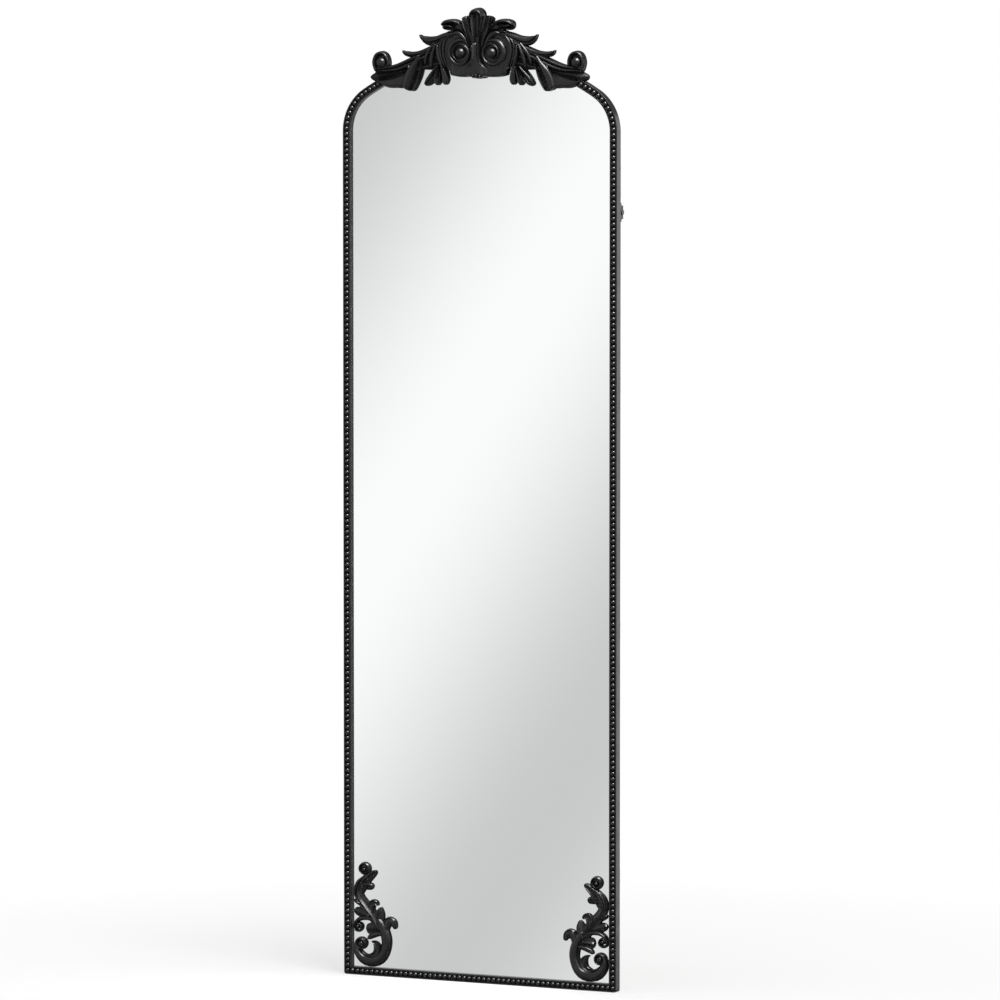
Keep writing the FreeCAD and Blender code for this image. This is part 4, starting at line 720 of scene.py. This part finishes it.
def spline(values, place):
    """Value of a smooth curve through the stations, at a place counted in stations."""
    last = len(values) - 1
    index = min(int(place), last - 1)
    step = place - index
    before = values[max(index - 1, 0)]
    start = values[index]
    end = values[index + 1]
    after = values[min(index + 2, last)]
    slope = (end - before) / 2
    next_slope = (after - start) / 2
    bend = 3 * (end - start) - 2 * slope - next_slope
    twist = 2 * (start - end) + slope + next_slope
    return start + step * (slope + step * (bend + step * twist))


def leaf_line(stations, end_width=0.08, end_share=0.5, end_length=0.25):
    """Points, half widths and shares along a leaf, with rounded ends."""
    columns = list(zip(*stations))
    rows = []
    for number in range(LEAF_ROWS):
        share = (1 - math.cos(math.pi * number / (LEAF_ROWS - 1))) / 2
        place = share * (len(stations) - 1)
        rows.append([spline(column, place) for column in columns])
    lengths = [0.0]
    for row, following in zip(rows, rows[1:]):
        lengths.append(lengths[-1] + math.dist(row[:2], following[:2]))
    for row, along in zip(rows, lengths):
        for gap, end in ((along, stations[0]), (lengths[-1] - along, stations[-1])):
            reach = min(end[2], END_ROUND, end_length * lengths[-1])
            if gap < reach:
                row[2] *= rounding(1 - gap / reach, end_width)
                row[3] *= rounding(1 - gap / reach, end_share)
    return rows


def scroll_line(centre, radii, angles, halves, shares, blunt=0.04, taper_rate=6):
    """Points, half widths and shares along a spiral band that tapers at both ends."""
    rows = []
    for number in range(SCROLL_ROWS):
        part = number / (SCROLL_ROWS - 1)
        angle = math.radians(angles[0] + angles[1] * part)
        radius = spline(radii, part * (len(radii) - 1))
        taper = math.sin(math.pi * min(0.5, blunt + taper_rate * min(part, 1 - part)))
        rows.append([
            centre[0] + radius * math.cos(angle),
            centre[1] + radius * math.sin(angle),
            spline(halves, part * (len(halves) - 1)) * taper,
            spline(shares, part * (len(shares) - 1)),
        ])
    return rows


def site_in(box, start, direction, foot):
    """Function that puts a point, in mm across and up and a share of the relief, into a CAD box."""
    low, high = box
    relief = high.y - low.y

    def site(across, up, share):
        return (start + direction * across * MM, high.y - share * relief, foot + up * MM)

    return site


def close_back(piece, site):
    """Extrude an open carved face to the flat back of the carving."""
    back = site(0, 0, 0)[1]
    open_up(piece)
    bpy.ops.mesh.extrude_region_move()
    bpy.ops.transform.resize(value=(1, 0, 1), center_override=(0, back, 0))
    face_outwards()


def ribbon(name, rows, section, site, roll):
    """Shape a grid along a line, with its columns closer together near the edges, and close it."""
    columns = SECTION_POINTS - 1
    fresh()
    bpy.ops.mesh.primitive_grid_add(x_subdivisions=columns, y_subdivisions=len(rows) - 1, size=1)
    leaf = started(name)
    points = []
    for number, (across, up, half, share) in enumerate(rows):
        ahead = rows[min(number + 1, len(rows) - 1)]
        behind = rows[max(number - 1, 0)]
        along = Vector((ahead[0] - behind[0], ahead[1] - behind[1])).normalized()
        for column in range(SECTION_POINTS):
            even = 2 * column / columns - 1
            side = even * (1.5 - 0.5 * even * even)
            height = share * section(side) * rolled_edge(side, roll)
            points.extend(site(across - along.y * half * side, up + along.x * half * side, height))
    leaf.data.vertices.foreach_set("co", points)

    # Painted shade: the faces along both edges of a form take the darker groove finish
    def edge_in_painted_shade(face):
        column = face.index % columns
        return min(column, columns - 1 - column) < EDGE_COLUMNS

    two_finishes(leaf, "carving_black", "groove", edge_in_painted_shade)
    close_back(leaf, site)
    return leaf


def boss(name, centre, radius, foot, top, site, groove=0.3):
    """Shape half a ball into a round boss that stands on the back of the carving."""
    piece = ball(name, BOSS_SIDES, BOSS_RINGS, 1)
    trim_open(piece, (0, 0, 0), (0, 1, 0))
    # Painted shade: the ring of faces at the boss's foot takes the darker groove finish
    two_finishes(piece, "carving_black", "groove", lambda face: face.center.y > -groove)
    for vertex in piece.data.vertices:
        rise = foot + (top - foot) * -vertex.co.y
        vertex.co = site(centre[0] + radius * vertex.co.x, centre[1] + radius * vertex.co.z, rise)
    close_back(piece, site)
    return piece


def plate(name, slot, share, outline, site):
    """Extrude a flat ground between the leaves."""
    fresh()
    bpy.ops.mesh.primitive_circle_add(vertices=len(outline), fill_type="NGON")
    ground = started(name)
    for vertex, (across, up) in zip(ground.data.vertices, outline):
        vertex.co = site(across, up, share)
    ground.data.materials.append(finish_of(slot))
    close_back(ground, site)
    return ground


def carve(leaves, scrolls, bosses, site, roll):
    """All forms of a carving, each closed in itself."""
    forms = []
    for name, (section, stations) in leaves.items():
        forms.append(ribbon(name, leaf_line(stations), SECTIONS[section], site, roll))
    for name, facts in scrolls.items():
        forms.append(ribbon(name, scroll_line(*facts), SECTIONS["domed"], site, roll))
    for name, facts in bosses.items():
        forms.append(boss(name, *facts, site))
    return forms


# Shader nodes


def add_node(tree, kind, inputs=None, **settings):
    """Add a shader node and give each input a link, where it comes from a socket, or a plain value."""
    node = tree.nodes.new(f"ShaderNode{kind}")
    for key, value in settings.items():
        setattr(node, key, value)
    for key, value in (inputs or {}).items():
        if isinstance(value, bpy.types.NodeSocket):
            tree.links.new(value, node.inputs[key])
        else:
            node.inputs[key].default_value = value
    return node


def worked_out(tree, kind, operation, *values):
    """Value of a Math or VectorMath node."""
    return add_node(tree, kind, dict(enumerate(values)), operation=operation).outputs["Value"]


def object_place(tree):
    return add_node(tree, "TexCoord").outputs["Object"]


def noise(tree, scale, detail=4.0, stretch=None):
    """Noise on Object coordinates, stretched along an axis where asked."""
    place = object_place(tree)
    if stretch:
        place = add_node(tree, "Mapping", {"Vector": place, "Scale": stretch}).outputs["Vector"]
    return add_node(tree, "TexNoise", {"Vector": place, "Scale": scale, "Detail": detail}).outputs["Fac"]


def blend(tree, amount, first, second):
    mix = add_node(tree, "Mix", {"Factor": amount, "A": first, "B": second}, data_type="RGBA")
    return mix.outputs["Result"]


def spread(tree, value, low, high, edges=(0.3, 0.7)):
    """Stretch a value between two edges to a range whose ends may be sockets or numbers."""
    inputs = {"Value": value, "From Min": edges[0], "From Max": edges[1], "To Min": low, "To Max": high}
    return add_node(tree, "MapRange", inputs).outputs["Result"]


def shader_material(name):
    material = bpy.data.materials.new(name)
    material.use_nodes = True
    return material, material.node_tree.nodes["Principled BSDF"]


def glow_material(name):
    """Material that only glows, with the socket of its strength."""
    material = bpy.data.materials.new(name)
    material.use_nodes = True
    tree = material.node_tree
    tree.nodes.clear()
    glow = add_node(tree, "Emission")
    add_node(tree, "OutputMaterial", {"Surface": glow.outputs["Emission"]})
    return material, glow.inputs["Strength"]


# Finishes


def surface_group(name, inputs):
    """Start the node group of a surface and return it with the sockets of its inputs."""
    group = bpy.data.node_groups.new(name, "ShaderNodeTree")
    for label, default in inputs.items():
        kind = "NodeSocketColor" if label.endswith("Colour") else "NodeSocketFloat"
        socket = group.interface.new_socket(label, in_out="INPUT", socket_type=kind)
        socket.default_value = default
    for label, kind in (("Colour", "Color"), ("Roughness", "Float"), ("Height", "Float")):
        group.interface.new_socket(label, in_out="OUTPUT", socket_type=f"NodeSocket{kind}")
    return group, group.nodes.new("NodeGroupInput").outputs


def closed_group(group, colour, roughness, height):
    """Link the three results of a surface to its group's outputs."""
    end = group.nodes.new("NodeGroupOutput")
    for label, result in (("Colour", colour), ("Roughness", roughness), ("Height", height)):
        group.links.new(result, end.inputs[label])
    return group


def paint_film():
    """Group for brushed and sprayed paint: mottled colour, uneven gloss and a fine peel."""
    group, given = surface_group("paint_film", {
        "Colour": (0, 0, 0, 1), "Worn Colour": (0, 0, 0, 1), "Scale": 40, "Peel Scale": 900,
        "Low Roughness": 0.2, "High Roughness": 0.3,
    })
    cloud = noise(group, given["Scale"])
    colour = blend(group, spread(group, cloud, 0, 1), given["Colour"], given["Worn Colour"])
    rough = spread(group, cloud, given["Low Roughness"], given["High Roughness"])
    return closed_group(group, colour, rough, noise(group, given["Peel Scale"], 2))


def plated_metal():
    """Group for plated or milled metal: spangled colour, streaked gloss and fine draw lines."""
    group, given = surface_group("plated_metal", {
        "Colour": (0, 0, 0, 1), "Dull Colour": (0, 0, 0, 1), "Scale": 200, "Low Roughness": 0.25,
        "High Roughness": 0.4,
    })
    cloud = noise(group, given["Scale"])
    streak = noise(group, given["Scale"], 3, (6, 6, 0.4))
    colour = blend(group, spread(group, cloud, 0, 1), given["Colour"], given["Dull Colour"])
    rough = spread(group, streak, given["Low Roughness"], given["High Roughness"])
    return closed_group(group, colour, rough, streak)


def fibre_sheet():
    """Group for pressed sheets: fine fibres, soft clouds and a felted surface."""
    group, given = surface_group("fibre_sheet", {
        "Colour": (0, 0, 0, 1), "Fibre Colour": (0, 0, 0, 1), "Scale": 500,
    })
    fibre = noise(group, given["Scale"], 6, (1, 1, 0.45))
    cloud = noise(group, 14, 5)
    both = worked_out(group, "Math", "MULTIPLY_ADD", cloud, 0.45, fibre)
    amount = spread(group, both, 0, 1, (0.5, 0.95))
    colour = blend(group, amount, given["Colour"], given["Fibre Colour"])
    return closed_group(group, colour, spread(group, fibre, 0.6, 0.85), fibre)


def finish(slot, group, values, bump, **constants):
    """Make a slot's material from a surface group, with constants set on the shader itself."""
    material, shader = shader_material(f"{slot}_finish")
    tree = material.node_tree
    surface = add_node(tree, "Group", values, node_tree=group).outputs
    for label, value in constants.items():
        shader.inputs[label.replace("_", " ")].default_value = value
    strength, distance = bump
    raised = add_node(
        tree, "Bump", {"Strength": strength, "Distance": distance, "Height": surface["Height"]}
    )
    tree.links.new(surface["Colour"], shader.inputs["Base Color"])
    tree.links.new(surface["Roughness"], shader.inputs["Roughness"])
    tree.links.new(raised.outputs["Normal"], shader.inputs["Normal"])


def tinted(colour, factor):
    return tuple(min(1.0, part * factor) for part in colour) + (1.0,)


def mirror_silver(colour, dull=0.985, haze=0.004):
    """Make the silvered glass: a bright metal sheet with the faintest haze."""
    material, shader = shader_material("mirror_finish")
    tree = material.node_tree
    cloud = noise(tree, 3, 3)
    shader.inputs["Metallic"].default_value = 1
    ramp = add_node(tree, "ValToRGB", {"Fac": cloud})
    ramp.color_ramp.elements[0].color = tinted(colour, dull)
    ramp.color_ramp.elements[1].color = tinted(colour, 1)
    tree.links.new(ramp.outputs["Color"], shader.inputs["Base Color"])
    tree.links.new(spread(tree, cloud, 0.0, haze), shader.inputs["Roughness"])


def make_finishes(colours):
    """Make the finish of every slot, and that of the grooves, which is painted shade."""
    paint, metal, sheet = paint_film(), plated_metal(), fibre_sheet()
    mirror_silver(colours.mirror)
    for slot, (low, high, scale, peel, bump, worn, specular) in PAINTS.items():
        base = getattr(colours, slot)
        values = {
            "Colour": tinted(base, 1), "Worn Colour": tinted(base, worn), "Scale": scale,
            "Peel Scale": peel, "Low Roughness": low, "High Roughness": high,
        }
        finish(slot, paint, values, bump, Specular_IOR_Level=specular)
    for slot, (low, high, scale) in METALS.items():
        base = getattr(colours, slot)
        values = {
            "Colour": tinted(base, 1), "Dull Colour": tinted(base, METAL_DULL), "Scale": scale,
            "Low Roughness": low, "High Roughness": high,
        }
        finish(slot, metal, values, METAL_BUMP, Metallic=1.0)
    for slot, (fibre, scale) in SHEETS.items():
        base = getattr(colours, slot)
        values = {"Colour": tinted(base, 1), "Fibre Colour": tinted(base, fibre), "Scale": scale}
        finish(slot, sheet, values, SHEET_BUMP)


# Operators


class MIRROR_OT_finishes(bpy.types.Operator):
    """Make the finishes and give each CAD node its own"""

    bl_idname = "mirror.finishes"
    bl_label = "Finishes"

    def execute(self, context):
        make_finishes(context.scene.mirror_finishes)
        for part in frame["record"]["subparts"]:
            node = frame["nodes"][part["node"]]
            node.data.materials.clear()
            node.data.materials.append(finish_of(part["material_slot"]))
        return {"FINISHED"}


class MIRROR_OT_moulding(bpy.types.Operator):
    """Model the four lengths of the moulding"""

    bl_idname = "mirror.moulding"
    bl_label = "Moulding"

    def execute(self, context):
        sizes = context.scene.mirror_frame_sizes
        stile = sweep("right_stile_moulding", upright(MOULDING_OUTLINE, 0), [run((0, 0, STILE_HEAD))])
        trim(stile, (HALF_WIDTH, 0, 0), (-1, 0, -1))
        self.round_corner(stile, sizes.corner_round, 1)
        across = run((2 * HALF_WIDTH, 0, 0))
        rail = sweep("bottom_rail_moulding", lying(MOULDING_OUTLINE, -HALF_WIDTH), [across])
        for side in (1, -1):
            trim(rail, (side * HALF_WIDTH, 0, 0), (side, 0, 1))
            self.round_corner(rail, sizes.corner_round, side)
        place, crown, shoulder_turn, arch_half = arch_facts(sizes)
        arch = sweep("top_arch_moulding", upright(MOULDING_OUTLINE, STILE_HEAD), [
            turn(shoulder_turn, SHOULDER_STEPS, (place, 0, STILE_HEAD)),
            turn(2 * arch_half, ARCH_STEPS, (0, 0, crown)),
            turn(shoulder_turn, SHOULDER_STEPS, (-place, 0, STILE_HEAD)),
        ])
        pieces = {**pair(stile, "right_stile"), "bottom_rail": rail, "top_arch": arch}
        for node, piece in pieces.items():
            soften(piece, sizes.edge_round)
            settle(piece, "frame_black", "mirror", node)
        return {"FINISHED"}

    def round_corner(self, piece, radius, side):
        """Round an outer bottom corner, on the right where side is 1, with even cuts."""
        middle = Vector((side * (HALF_WIDTH - radius), 0, radius))
        for number in range(CORNER_CUTS):
            angle = QUARTER_TURN * (number + 0.5) / CORNER_CUTS
            normal = Vector((side * math.cos(angle), 0, -math.sin(angle)))
            trim(piece, middle + normal * radius, normal)


class MIRROR_OT_beading(bpy.types.Operator):
    """Model the bead strips: one bead, copied along each strip"""

    bl_idname = "mirror.beading"
    bl_label = "Beading"

    def execute(self, context):
        sizes = context.scene.mirror_frame_sizes
        line, pitch = sizes.bead_line, sizes.bead_pitch
        low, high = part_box("beading_right")
        count = int((STILE_HEAD - line) / pitch) + 1
        places = [Vector((HALF_WIDTH - line, 0, line + number * pitch)) for number in range(count)]
        rise = run((0, 0, high.z - low.z))
        strip = sweep("beading_right_strip", upright(STRIP_OUTLINE, low.z), [rise])
        right = self.beaded("beading_right_row", strip, places, sizes)

        low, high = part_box("beading_bottom")
        steps = round((HALF_WIDTH - line) / pitch)
        gap = (HALF_WIDTH - line) / steps
        places = [Vector((number * gap, 0, line)) for number in range(1 - steps, steps)]
        across = run((high.x - low.x, 0, 0))
        strip = sweep("beading_bottom_strip", lying(STRIP_OUTLINE, low.x), [across])
        bottom = self.beaded("beading_bottom_row", strip, places, sizes)

        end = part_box("beading_shoulder_right")[0].x
        place, crown, shoulder_turn, arch_half = arch_facts(sizes)
        strip = sweep("beading_shoulder_strip", upright(STRIP_OUTLINE, STILE_HEAD), [
            turn(shoulder_turn, STRIP_SHOULDER_STEPS, (place, 0, STILE_HEAD)),
            turn(arch_half - STRIP_END_ANGLE, STRIP_ARCH_STEPS, (0, 0, crown)),
        ])
        places = []
        along = line + count * pitch - STILE_HEAD
        while arch_point(sizes, along).x > end + sizes.bead_radius:
            places.append(arch_point(sizes, along))
            along += pitch
        shoulder = self.beaded("beading_shoulder_right_row", strip, places, sizes)

        just_proud = (STRIP_FACE - 0.05) * MM
        rows = {**pair(right, "beading_right"), "beading_bottom": bottom}
        rows.update(pair(shoulder, "beading_shoulder_right"))
        for row in rows.values():
            # Painted shade: the strip around the beads takes the darker groove finish, for the shade between
            # them
            two_finishes(row, "bead_black", "groove", lambda face: face.center.y > just_proud)
        settle_all(rows, MOULDING_SHADE, "bead_black", "mirror")
        return {"FINISHED"}

    def beaded(self, name, strip, places, sizes):
        """Join a strip with one copy of the bead at each place."""
        bead = ball("bead", BEAD_SIDES, BEAD_RINGS, sizes.bead_radius)
        trim(bead, (0, 0, 0), (0, 1, 0))
        open_up(bead)
        flatter = (1, sizes.bead_rise / sizes.bead_radius, 1)
        bpy.ops.transform.resize(value=flatter, center_override=(0, 0, 0))
        bpy.ops.object.mode_set(mode="OBJECT")
        beads = [bead] + [bead.copy() for place in places[1:]]
        for copy in beads[1:]:
            copy.data = bead.data.copy()
            bpy.context.scene.collection.objects.link(copy)
        only(bead)
        for copy, place in zip(beads, places):
            copy.location = (place.x, STRIP_FACE * MM, place.z)
            copy.select_set(True)
        bpy.ops.object.transform_apply(location=True, rotation=False, scale=False)
        return join(name, [strip] + beads)


class MIRROR_OT_crest(bpy.types.Operator):
    """Carve the crest over the arch"""

    bl_idname = "mirror.crest"
    bl_label = "Crest"

    def execute(self, context):
        site = site_in(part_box("crest"), 0, 1, ARCH_TOP - CREST_FOOT_DROP)
        half = carve(CREST_LEAVES, CREST_SCROLLS, CREST_BOSSES, site, CREST_ROLL)
        half.append(plate("ground", "carving_black", *CREST_GROUND, site))
        # Painted shade: the deep wing ground behind the side leaves takes the darker groove finish
        half.append(plate("wing", "groove", *CREST_WING, site))
        right = join("crest_half", half)
        left = mirrored_copy(right, "crest_other_half")
        middle = carve(CREST_MIDDLE, CREST_HOOD, {}, site, CREST_ROLL)
        crest = join("crest_carving", [right, left] + middle)
        settle_all({"crest": crest}, CARVING_SHADE, "carving_black", "mirror")
        return {"FINISHED"}


class MIRROR_OT_corners(bpy.types.Operator):
    """Carve the two bottom corner pieces"""

    bl_idname = "mirror.corners"
    bl_label = "Corner Carvings"

    def execute(self, context):
        inset = SIGHT_EDGE + CORNER_GAP
        site = site_in(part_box("corner_carving_right"), HALF_WIDTH - inset, -1, inset)
        forms = carve(CORNER_LEAVES, CORNER_SCROLLS, CORNER_BOSSES, site, CORNER_ROLL)
        right = join("corner_carving_right_relief", forms)
        settle_all(pair(right, "corner_carving_right"), CARVING_SHADE, "carving_black", "mirror")
        return {"FINISHED"}


class MIRROR_OT_stand(bpy.types.Operator):
    """Bend the stand from a tube and put a grooved rubber sleeve on each foot"""

    bl_idname = "mirror.stand"
    bl_label = "Stand"

    def execute(self, context):
        sizes = context.scene.mirror_frame_sizes
        radius, bend = sizes.tube_radius, sizes.tube_bend
        leg, depth = TUBE_HIGH.x - radius, (TUBE_LOW.y + TUBE_HIGH.y) / 2
        top, bar = TUBE_HIGH.z, TUBE_LOW.z + radius
        drop = top - bar - bend
        ring = [
            (radius * math.cos(angle) - leg, depth + radius * math.sin(angle), top)
            for angle in around(TUBE_SIDES)
        ]
        tube = sweep("stand_bent_tube", ring, [
            run((0, 0, -drop)),
            turn(QUARTER_TURN, TUBE_BEND_STEPS, (bend - leg, depth, bar + bend)),
            run((2 * (leg - bend), 0, 0)),
            turn(QUARTER_TURN, TUBE_BEND_STEPS, (leg - bend, depth, bar + bend)),
            run((0, 0, drop)),
        ])
        settle_all({"stand_tube": tube}, TUBE_SHADE, "stand_black", "stand")
        right = self.sleeve(sizes, depth, bar)
        settle_all(pair(right, "foot_sleeve_right"), TUBE_SHADE, "rubber_black", "stand")
        return {"FINISHED"}

    def sleeve(self, sizes, depth, bar):
        """Rubber sleeve with rounded ends and a groove between each two of its ribs."""
        low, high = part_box("foot_sleeve_right")
        outside, ribs = (high.z - low.z) / 2, sizes.sleeve_ribs
        edge, groove = sizes.sleeve_edge, sizes.sleeve_groove
        rib = (high.x - low.x - 2 * edge - (ribs - 1) * groove) / ribs

        def swell(share):
            return lambda: bpy.ops.transform.resize(
                value=(1, share, share), center_override=(0, depth, bar)
            )

        valley_depth = 0.8 * edge
        narrow, deep = 1 - edge / outside, 1 - valley_depth / outside
        step = run((groove / 3, 0, 0))
        valley = [step, swell(deep), step, step, swell(1 / deep)]
        moves = [run((edge, 0, 0)), swell(1 / narrow), run((rib, 0, 0))]
        moves += (ribs - 1) * (valley + [run((rib, 0, 0))])
        moves += [run((edge, 0, 0)), swell(narrow)]
        reach = outside * narrow
        ring = [
            (low.x, depth + reach * math.sin(angle), bar + reach * math.cos(angle))
            for angle in around(SLEEVE_SIDES)
        ]
        return sweep("foot_sleeve_right_ribbed", ring, moves)


class MIRROR_OT_stage(bpy.types.Operator):
    """Set the floor, the light and the camera"""

    bl_idname = "mirror.stage"
    bl_label = "Stage"

    def execute(self, context):
        scene = context.scene
        stage = scene.mirror_stage
        scene.view_settings.view_transform = "Standard"
        self.add_floor(stage)
        self.add_band_card()
        self.add_gloss_cards()
        self.add_world(scene, stage)
        self.add_lamps()
        self.add_camera(scene, stage)
        return {"FINISHED"}

    def add_floor(self, stage):
        """Pale floor that takes shadows near the mirror and glows white to the camera further out."""
        fresh()
        bpy.ops.mesh.primitive_plane_add(size=FLOOR_SIZE)
        floor = started("floor")
        material, shader = shader_material("floor_paper")
        tree = material.node_tree
        shader.inputs["Base Color"].default_value = tinted(stage.floor, 1)
        shader.inputs["Roughness"].default_value = 0.9
        shader.inputs["Specular IOR Level"].default_value = 0
        away = spread(tree, worked_out(tree, "VectorMath", "LENGTH", object_place(tree)), *FLOOR_GLOW)
        path = add_node(tree, "LightPath").outputs
        seen = worked_out(tree, "Math", "MULTIPLY", away, path["Is Camera Ray"])
        glow = add_node(tree, "Emission").outputs["Emission"]
        mix = add_node(tree, "MixShader", {0: seen, 1: shader.outputs["BSDF"], 2: glow})
        tree.links.new(mix.outputs["Shader"], tree.nodes["Material Output"].inputs["Surface"])
        floor.data.materials.append(material)
        floor.visible_glossy = False

    def add_gloss_cards(self):
        """Bright cards beside and above that only gloss sees, for crisp highlights on the black."""
        for name, (place, (width, height), level) in GLOSS_CARDS.items():
            fresh()
            aim = (LIGHT_AIM - Vector(place)).to_track_quat("Z", "Y").to_euler()
            bpy.ops.mesh.primitive_plane_add(size=1, location=place, rotation=aim)
            card = started(name)
            card.scale = (width, height, 1)
            bpy.ops.object.transform_apply(location=True, rotation=True, scale=True)
            material, strength = glow_material(name)
            strength.default_value = level
            self.gloss_only(card, material)

    def gloss_only(self, card, material):
        card.data.materials.append(material)
        for ray in ("camera", "diffuse", "shadow", "transmission"):
            setattr(card, f"visible_{ray}", False)

    def add_band_card(self):
        """Curved studio card that only gloss and the mirror see, with a soft slanting band of light."""
        fresh()
        bpy.ops.mesh.primitive_cylinder_add(
            vertices=CARD_SIDES, radius=CARD_RADIUS, depth=CARD_HEIGHT, end_fill_type="NOTHING",
            location=(0, 0, CARD_MIDDLE),
        )
        card = started("studio_card")
        bpy.ops.object.transform_apply(location=True, rotation=False, scale=False)
        trim_open(card, (0, CARD_BACK, 0), (0, 1, 0))
        material, strength = glow_material("studio_card_band")
        tree = material.node_tree
        place = object_place(tree)
        slant = worked_out(tree, "VectorMath", "DOT_PRODUCT", place, BAND_SLANT)
        pace, lag = math.tau / BAND_SPACING, -math.tau * (BAND_START / BAND_SPACING)
        wave = worked_out(tree, "Math", "COSINE", worked_out(tree, "Math", "MULTIPLY_ADD", slant, pace, lag))
        level = worked_out(tree, "Math", "MULTIPLY_ADD", wave, BAND_SWING, BAND_LEVEL)
        facing = worked_out(tree, "VectorMath", "DOT_PRODUCT", place, CARD_FACING)
        faded = worked_out(tree, "Math", "MULTIPLY", level, spread(tree, facing, *CARD_FADE))
        tree.links.new(faded, strength)
        self.gloss_only(card, material)

    def add_world(self, scene, stage):
        """White to the camera, a moderate soft light to everything else and less of it to gloss."""
        world = bpy.data.worlds.new("studio")
        scene.world = world
        world.use_nodes = True
        tree = world.node_tree
        light = tree.nodes["Background"]
        light.inputs["Color"].default_value = (1, 1, 1, 1)
        path = add_node(tree, "LightPath").outputs
        seen = spread(tree, path["Is Camera Ray"], stage.daylight, 1, (0, 1))
        dimmed = spread(tree, path["Is Glossy Ray"], 1, stage.gloss_share, (0, 1))
        tree.links.new(worked_out(tree, "Math", "MULTIPLY", seen, dimmed), light.inputs["Strength"])

    def add_lamps(self):
        for name, (place, width, power) in LAMPS.items():
            fresh()
            bpy.ops.object.light_add(type="AREA", location=place)
            lamp = bpy.context.object
            lamp.name = name
            lamp.data.shape = "SQUARE"
            lamp.data.size = width
            lamp.data.energy = power
            lamp.rotation_euler = (LIGHT_AIM - Vector(place)).to_track_quat("-Z", "Y").to_euler()
            lamp.visible_camera = False

    def add_camera(self, scene, stage):
        fresh()
        bpy.ops.object.camera_add()
        camera = bpy.context.object
        camera.name = "camera"
        back = Vector((
            math.sin(stage.turn) * math.cos(stage.tilt),
            -math.cos(stage.turn) * math.cos(stage.tilt),
            math.sin(stage.tilt),
        ))
        right = Vector((math.cos(stage.turn), math.sin(stage.turn), 0))
        up = back.cross(right)
        aim = Vector(stage.aim)
        camera.location = aim + back * stage.distance
        look = aim + right * stage.nudge[0] + up * stage.nudge[1] - camera.location
        camera.rotation_euler = look.to_track_quat("-Z", "Y").to_euler()
        camera.data.sensor_width = SENSOR_WIDTH
        camera.data.lens = stage.lens
        camera.data.clip_end = CLIP_END
        scene.camera = camera


class VIEW3D_PT_floor_mirror(bpy.types.Panel):
    """Sidebar panel that lists the steps"""

    bl_label = "Floor Mirror"
    bl_space_type = "VIEW_3D"
    bl_region_type = "UI"
    bl_category = "Floor Mirror"

    def draw(self, context):
        for operator in OPERATORS:
            self.layout.operator(operator.bl_idname)


GROUPS = {
    "mirror_frame_sizes": MirrorFrameSizes,
    "mirror_finishes": MirrorFinishes,
    "mirror_stage": MirrorStage,
}
OPERATORS = [
    MIRROR_OT_finishes,
    MIRROR_OT_moulding,
    MIRROR_OT_beading,
    MIRROR_OT_crest,
    MIRROR_OT_corners,
    MIRROR_OT_stand,
    MIRROR_OT_stage,
]


def register():
    for kind in list(GROUPS.values()) + OPERATORS + [VIEW3D_PT_floor_mirror]:
        bpy.utils.register_class(kind)
    for name, kind in GROUPS.items():
        setattr(bpy.types.Scene, name, bpy.props.PointerProperty(type=kind))


def unregister():
    for name in GROUPS:
        delattr(bpy.types.Scene, name)
    for kind in [VIEW3D_PT_floor_mirror] + OPERATORS[::-1] + list(GROUPS.values()):
        bpy.utils.unregister_class(kind)


def main():
    register()
    bpy.ops.mirror.finishes()
    bpy.ops.mirror.moulding()
    bpy.ops.mirror.beading()
    bpy.ops.mirror.crest()
    bpy.ops.mirror.corners()
    bpy.ops.mirror.stand()
    bpy.ops.mirror.stage()
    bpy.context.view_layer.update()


if __name__ == "__main__":
    main()
